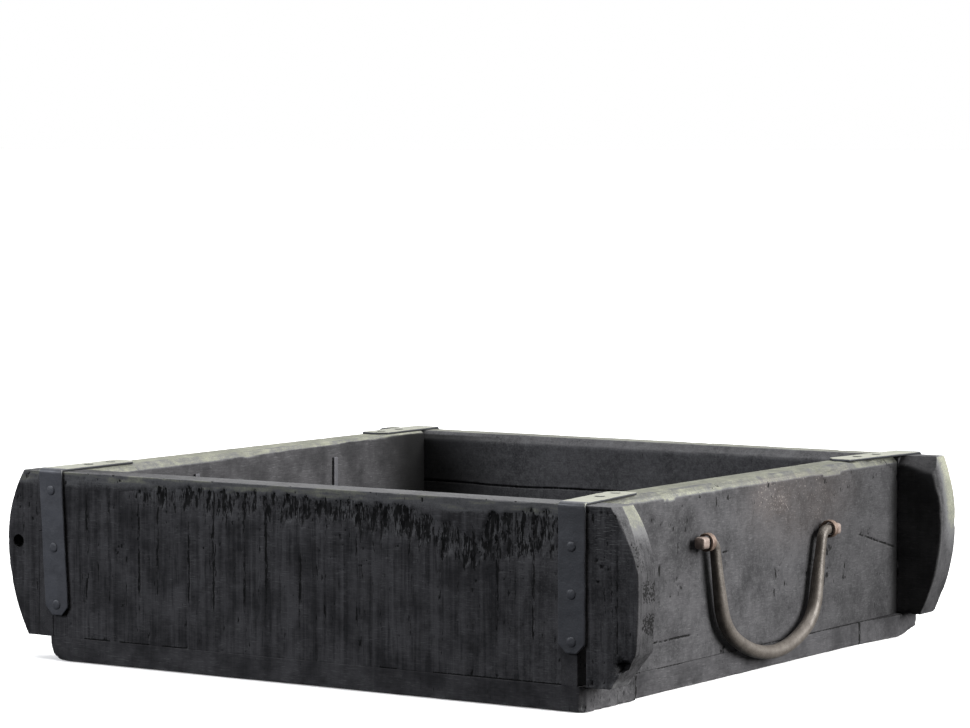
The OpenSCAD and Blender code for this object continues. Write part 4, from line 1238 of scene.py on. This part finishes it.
def strap_nails(corner, seed):
    """The nails of one strap: three driven into its leg and two into its run."""
    right, back, _ = CORNERS[corner]
    legs = LEG_NAILS[right]
    base = lathe(NAIL_PROFILE, NAIL_SIDES)
    quads, tris = [turned(f, right, back) for f in tube_faces(len(NAIL_PROFILE), NAIL_SIDES)]
    points, fours, threes = [], [], []
    for number, drop in enumerate(legs + RUN_NAILS):
        nail = base.copy()
        uneven = 1 - 0.12 * mottle(base * (1, 1, 0) + number * 9.7, (1.6, 1.6, 1), seed, 1)
        nail[:, :2] *= uneven[:, None]
        nail[:, 2] -= 0.16 * np.clip(nail[:, 2], 0, 1) * mottle(base + number * 5.3, 1.4, seed + 1, 1)
        if number < len(legs):
            nail = nail[:, [0, 2, 1]] * (1, -1, 1)
            lean = STRAP_LEAN[right] * drop / (legs[-1] + STRAP_TAIL)
            nail += (STRAP_INSET[right] + lean, -STRAP_T, TOP - drop)
        else:
            nail += (STRAP_INSET[right] + RUN_TURN[right] * drop, drop, TOP + STRAP_T)
        points.append(at_corner(nail, right, back))
        fours.append(quads + number * len(base))
        threes.append(tris + number * len(base))
    on_run = np.repeat(np.arange(len(points)) >= len(legs), len(base))
    # The heads on the run are pale like the run, as dust and as a painted sheen; the heads on the legs take
    # the legs' painted shade.
    rubbed = 0.75 * on_run * np.tile(smooth(base[:, 2], 0.1, 0.3), len(points))
    faces = [np.concatenate(fours), np.concatenate(threes)]
    make_piece("strap_nails_" + corner, np.concatenate(points), faces, "box", "nail_iron", STRAP_IRON,
               ["nails_" + corner], bare=rubbed, sooty=LEG_DARKENING[corner] * ~on_run)


for seed, corner in enumerate(CORNERS):
    strap_nails(corner, 560 + 10 * seed)

# %% [markdown]
# A split pin is one flat strip folded round the handle's end, pushed through the wall and clinched inside,
# one leg up and one leg down. Its centre line is walked like a turtle: so far ahead, so far round a bend. A
# strip skin is then carried along that line, each vertex at its own distance along it and height above it.

# %% Split pins
EYE_SPAN, EYE_HOLE, EYE_STANDOFF, PIN_T, PIN_W, PIN_LEG = 135.5, 3.5, 5.4, 1.5, 4.0, 22.0
PIN_BEND, NECK_BEND, PIN_EDGE = 1.2, 2.0, 0.4
PATH_STEP = 0.12
HANDLES = {"right": (1, 73.5, 4.0, math.radians(2.0)), "left": (-1, 73.5, 0.0, 0.0)}


def walk(start, heading, moves):
    """Points, headings and distances along moves, each a length and the degrees turned on the way."""
    counts = [max(2, math.ceil(length / PATH_STEP)) for length, _ in moves]
    bends = np.concatenate([np.full(n, math.radians(turn) / n) for n, (_, turn) in zip(counts, moves)])
    steps = np.concatenate([np.full(n, length / n) for n, (length, _) in zip(counts, moves)])
    middle = math.radians(heading) + np.cumsum(bends) - bends / 2
    moved = np.cumsum(np.stack([np.cos(middle), np.sin(middle)], axis=1) * steps[:, None], axis=0)
    headings = math.radians(heading) + np.concatenate([[0], np.cumsum(bends)])
    return np.concatenate([[start], start + moved]), headings, np.concatenate([[0], np.cumsum(steps)])


def arc(radius, degrees):
    """A move round a bend of the given radius."""
    return radius * math.radians(abs(degrees)), degrees


def split_pin(node, eye, outwards, wall, seed):
    """A strip carried along the fold of a split pin, whose eye is at a point and whose wall is so thick."""
    ring = EYE_HOLE + PIN_T / 2
    inside = EYE_STANDOFF + wall + PIN_T / 2
    reach = math.sqrt((ring + NECK_BEND) ** 2 - (PIN_T / 2 + NECK_BEND) ** 2)
    neck = math.degrees(math.atan2(PIN_T / 2 + NECK_BEND, reach))
    half = [(PIN_LEG - PIN_T / 2 - PIN_BEND, 0), arc(PIN_BEND, -90), (inside - PIN_BEND - reach, 0),
            arc(NECK_BEND, neck - 90)]
    line, headings, distance = walk((inside, PIN_LEG), -90, half + [arc(ring, 360 - 2 * neck)] + half[::-1])
    low, high = np.array([0, -PIN_W / 2, -PIN_T / 2]), np.array([distance[-1], PIN_W / 2, PIN_T / 2])
    across, through = [np.linspace(low[a], high[a], count) for a, count in ((1, 8), (2, 6))]
    flat, quads = box_skin(breaks(0, high[0], 0.7), across, through)
    s, w, h = softened(flat, low, high, PIN_EDGE).T
    h = h * (1 - 0.14 * mottle(flat, 3, seed))
    w = w * (1 - 0.12 * mottle(flat * (1, 0, 0), (5, 1, 1), seed + 1))
    along, up = [np.interp(s, distance, line[:, i]) for i in range(2)]
    heading = np.interp(s, distance, headings)
    along, up = along - h * np.sin(heading), up + h * np.cos(heading)
    p = np.stack([eye[0] - outwards * along, eye[1] + w, eye[2] + up], axis=1)
    bare = 0.7 * smooth(edge_distance(flat, low, high), 0.7, 0.1) * mottle(flat, 3, seed + 2)
    coated = 0.9 * smooth(along, EYE_STANDOFF + wall - 3, EYE_STANDOFF + wall)
    make_piece(node + "_strip", p, turned(quads, outwards > 0, True), "box", "rusty_pin", PIN_IRON, [node],
               bare=bare, coated=coated)


for side, (outwards, eye_z, middle, tilt) in HANDLES.items():
    low, high = (right_low, right_high) if outwards > 0 else (left_low, left_high)
    eye_x = RIGHT + EYE_STANDOFF if outwards > 0 else LEFT - EYE_STANDOFF
    for end, sign in (("front", -1), ("back", 1)):
        reach = sign * EYE_SPAN / 2
        eye = (eye_x, middle + reach * math.cos(tilt), eye_z - reach * math.sin(tilt))
        split_pin(f"split_pin_{side}_{end}", eye, outwards, high[0] - low[0], 600 + len(side) * 7 + sign)

# %% [markdown]
# A bail is a round rod, thickest in the middle, forged to a loop whose two ends turn out through the eyes. It
# is a tube: circles carried along a walked centre line. The smith's hammer left flats on the arms and squared
# the heads, so the circle turns towards a rounded square there.

# %% Shape of a bail
ROD_R, JOURNAL_R, HEAD_R, HEAD_L, HEAD_DOME = 3.9, 3.0, 3.8, 5.5, 0.9
SIDE_PLAY, ELBOW_R, ARM_LEAN, CORNER_R, BOTTOM_TURN = 0.8, 6.0, 12.0, 27.0, 30.0
BAIL_DROP, HEAD_FLATS, ARM_FLATS = 63.5, 1.3, 0.6
STUB = PIN_W + 2 * SIDE_PLAY + HEAD_L
ELBOW = ELBOW_R * math.radians(90 - ARM_LEAN)


def bail_line():
    """Centre line of a bail in the plane of Y and Z, from its front to its back head, and its arm's length.

    The arm's length and the bottom's radius follow from the span and the drop, as in the frame."""
    lean, turn = math.radians(ARM_LEAN), math.radians(BOTTOM_TURN)
    elbow_y = EYE_SPAN / 2 - PIN_W / 2 - SIDE_PLAY
    wide = elbow_y - ELBOW_R * math.cos(lean) - CORNER_R * (math.cos(lean) - math.sin(turn))
    deep = BAIL_DROP - ELBOW_R * (1 - math.sin(lean)) - CORNER_R * (math.cos(turn) - math.sin(lean))
    solve = math.sin(lean) * (1 - math.cos(turn)) - math.cos(lean) * math.sin(turn)
    arm = (wide * (1 - math.cos(turn)) - deep * math.sin(turn)) / solve
    bottom = (math.sin(lean) * deep - math.cos(lean) * wide) / solve
    half = [(STUB, 0), arc(ELBOW_R, ARM_LEAN - 90), (arm, 0), arc(CORNER_R, 90 - ARM_LEAN - BOTTOM_TURN)]
    moves = half + [arc(bottom, 2 * BOTTOM_TURN)] + half[::-1]
    return *walk((-elbow_y - STUB, 0), 0, moves), arm


def rod_radius(from_end, arm):
    """Radius of the rod by the distance from its nearer end: domed head, journal and swelling middle."""
    radius = JOURNAL_R + (ROD_R - JOURNAL_R) * smooth(from_end, STUB + ELBOW, STUB + ELBOW + arm + 6)
    dome = HEAD_R - HEAD_DOME * np.clip(1 - from_end / HEAD_DOME, 0, 1) ** 2
    return np.where(from_end < HEAD_L, dome, radius)


def hammered(s, a, from_end, arm, seed):
    """Share of the radius that the hammer left: a circle turned towards a rounded square of power 3."""
    flats = smooth(from_end, STUB + ELBOW + arm + 14, STUB + ELBOW) + 0.25
    squared = (np.abs(np.cos(a)) ** 3 + np.abs(np.sin(a)) ** 3) ** (-1 / 3)
    squared = squared / squared.max()
    strength = np.clip(flats, 0, 1) * np.where(from_end < HEAD_L, HEAD_FLATS, ARM_FLATS)
    shape = 1 + strength * (squared - 1)
    where = np.stack([s, np.cos(a) * 4, np.sin(a) * 4], axis=-1).reshape(-1, 3)
    return shape * (1 - 0.035 * mottle(where, (9, 4, 4), seed, 2).reshape(s.shape))


print("bail: centre line", round(float(bail_line()[2][-1])), "mm long")

# %% [markdown]
# The rings of the tube are made for the whole rod at once, as one grid of distance and angle. The loop is
# carried a little to one side as it goes down, because it hangs out of true, and each bail is then moved to
# its hinge. It rides on a body of its own, so that it can swing.

# %% Bails
HINGE_DROP, BAIL_SWAY, ROD_SIDES = 0.2, 4.0, 40


def bail(side, seed):
    """Circles of changing radius carried along the bail's centre line, then turned and moved to its hinge."""
    outwards, eye_z, middle, tilt = HANDLES[side]
    line, headings, distance, arm = bail_line()
    length = distance[-1]
    rings = breaks(0, length, 1.3, STUB - 0.4, STUB - 0.1, length - STUB + 0.1, length - STUB + 0.4,
                   HEAD_L + twins(-0.1, 0.1, 0.3), length - HEAD_L + twins(-0.3, -0.1, 0.1))
    s, a = np.meshgrid(rings, np.arange(ROD_SIDES) * 2 * math.pi / ROD_SIDES, indexing="ij")
    from_end = np.minimum(s, length - s)
    shape = hammered(s, a, from_end, arm, seed)
    heading = np.interp(rings, distance, headings)[:, None]
    centre_y, centre_z = [np.interp(rings, distance, line[:, i])[:, None] for i in range(2)]
    sway = BAIL_SWAY * np.clip(-centre_z / BAIL_DROP, 0, 1) ** 2
    r = rod_radius(from_end, arm) * shape
    y = centre_y + sway - r * np.cos(a) * np.sin(heading)
    z = centre_z + r * np.cos(a) * np.cos(heading)
    points = np.stack([r * np.sin(a), y, z], axis=-1).reshape(-1, 3)
    tips = [[0, centre_y[i, 0], centre_z[i, 0]] for i in (0, -1)]
    x, y, z = np.concatenate([points, tips]).T
    z = z - HINGE_DROP
    placed = np.stack([x + (RIGHT + EYE_STANDOFF if outwards > 0 else LEFT - EYE_STANDOFF),
                       middle + y * math.cos(tilt) + z * math.sin(tilt),
                       eye_z - y * math.sin(tilt) + z * math.cos(tilt)], axis=1)
    quads, tris = tube_faces(*s.shape)
    ridge = 0.5 * smooth(np.abs(shape), 0.9, 1.0)
    grip = 0.55 * smooth(from_end, 60, 95)
    # The heads are pale, partly a painted highlight.
    head = 0.8 * (from_end < HEAD_L + 0.2)
    make_piece(f"bail_{side}_rod", placed, [quads[:, [0, 3, 2, 1]], tris[:, [1, 0, 2]]], "handle_" + side,
               "worn_rod", ROD_IRON, ["bail_" + side], bare=np.append(np.maximum(ridge, grip), [0, 0]),
               tip=np.append(head, [0.8, 0.8]))


bail("right", 700)
bail("left", 720)

# %% [markdown]
# Last, the dressed box is measured and its size printed: wear only takes wood away, so the new box has to
# lie inside the old one.

# %% Sizes
low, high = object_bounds()
print("visual box:", [round((b - a) / MM, 1) for a, b in zip(low, high)])
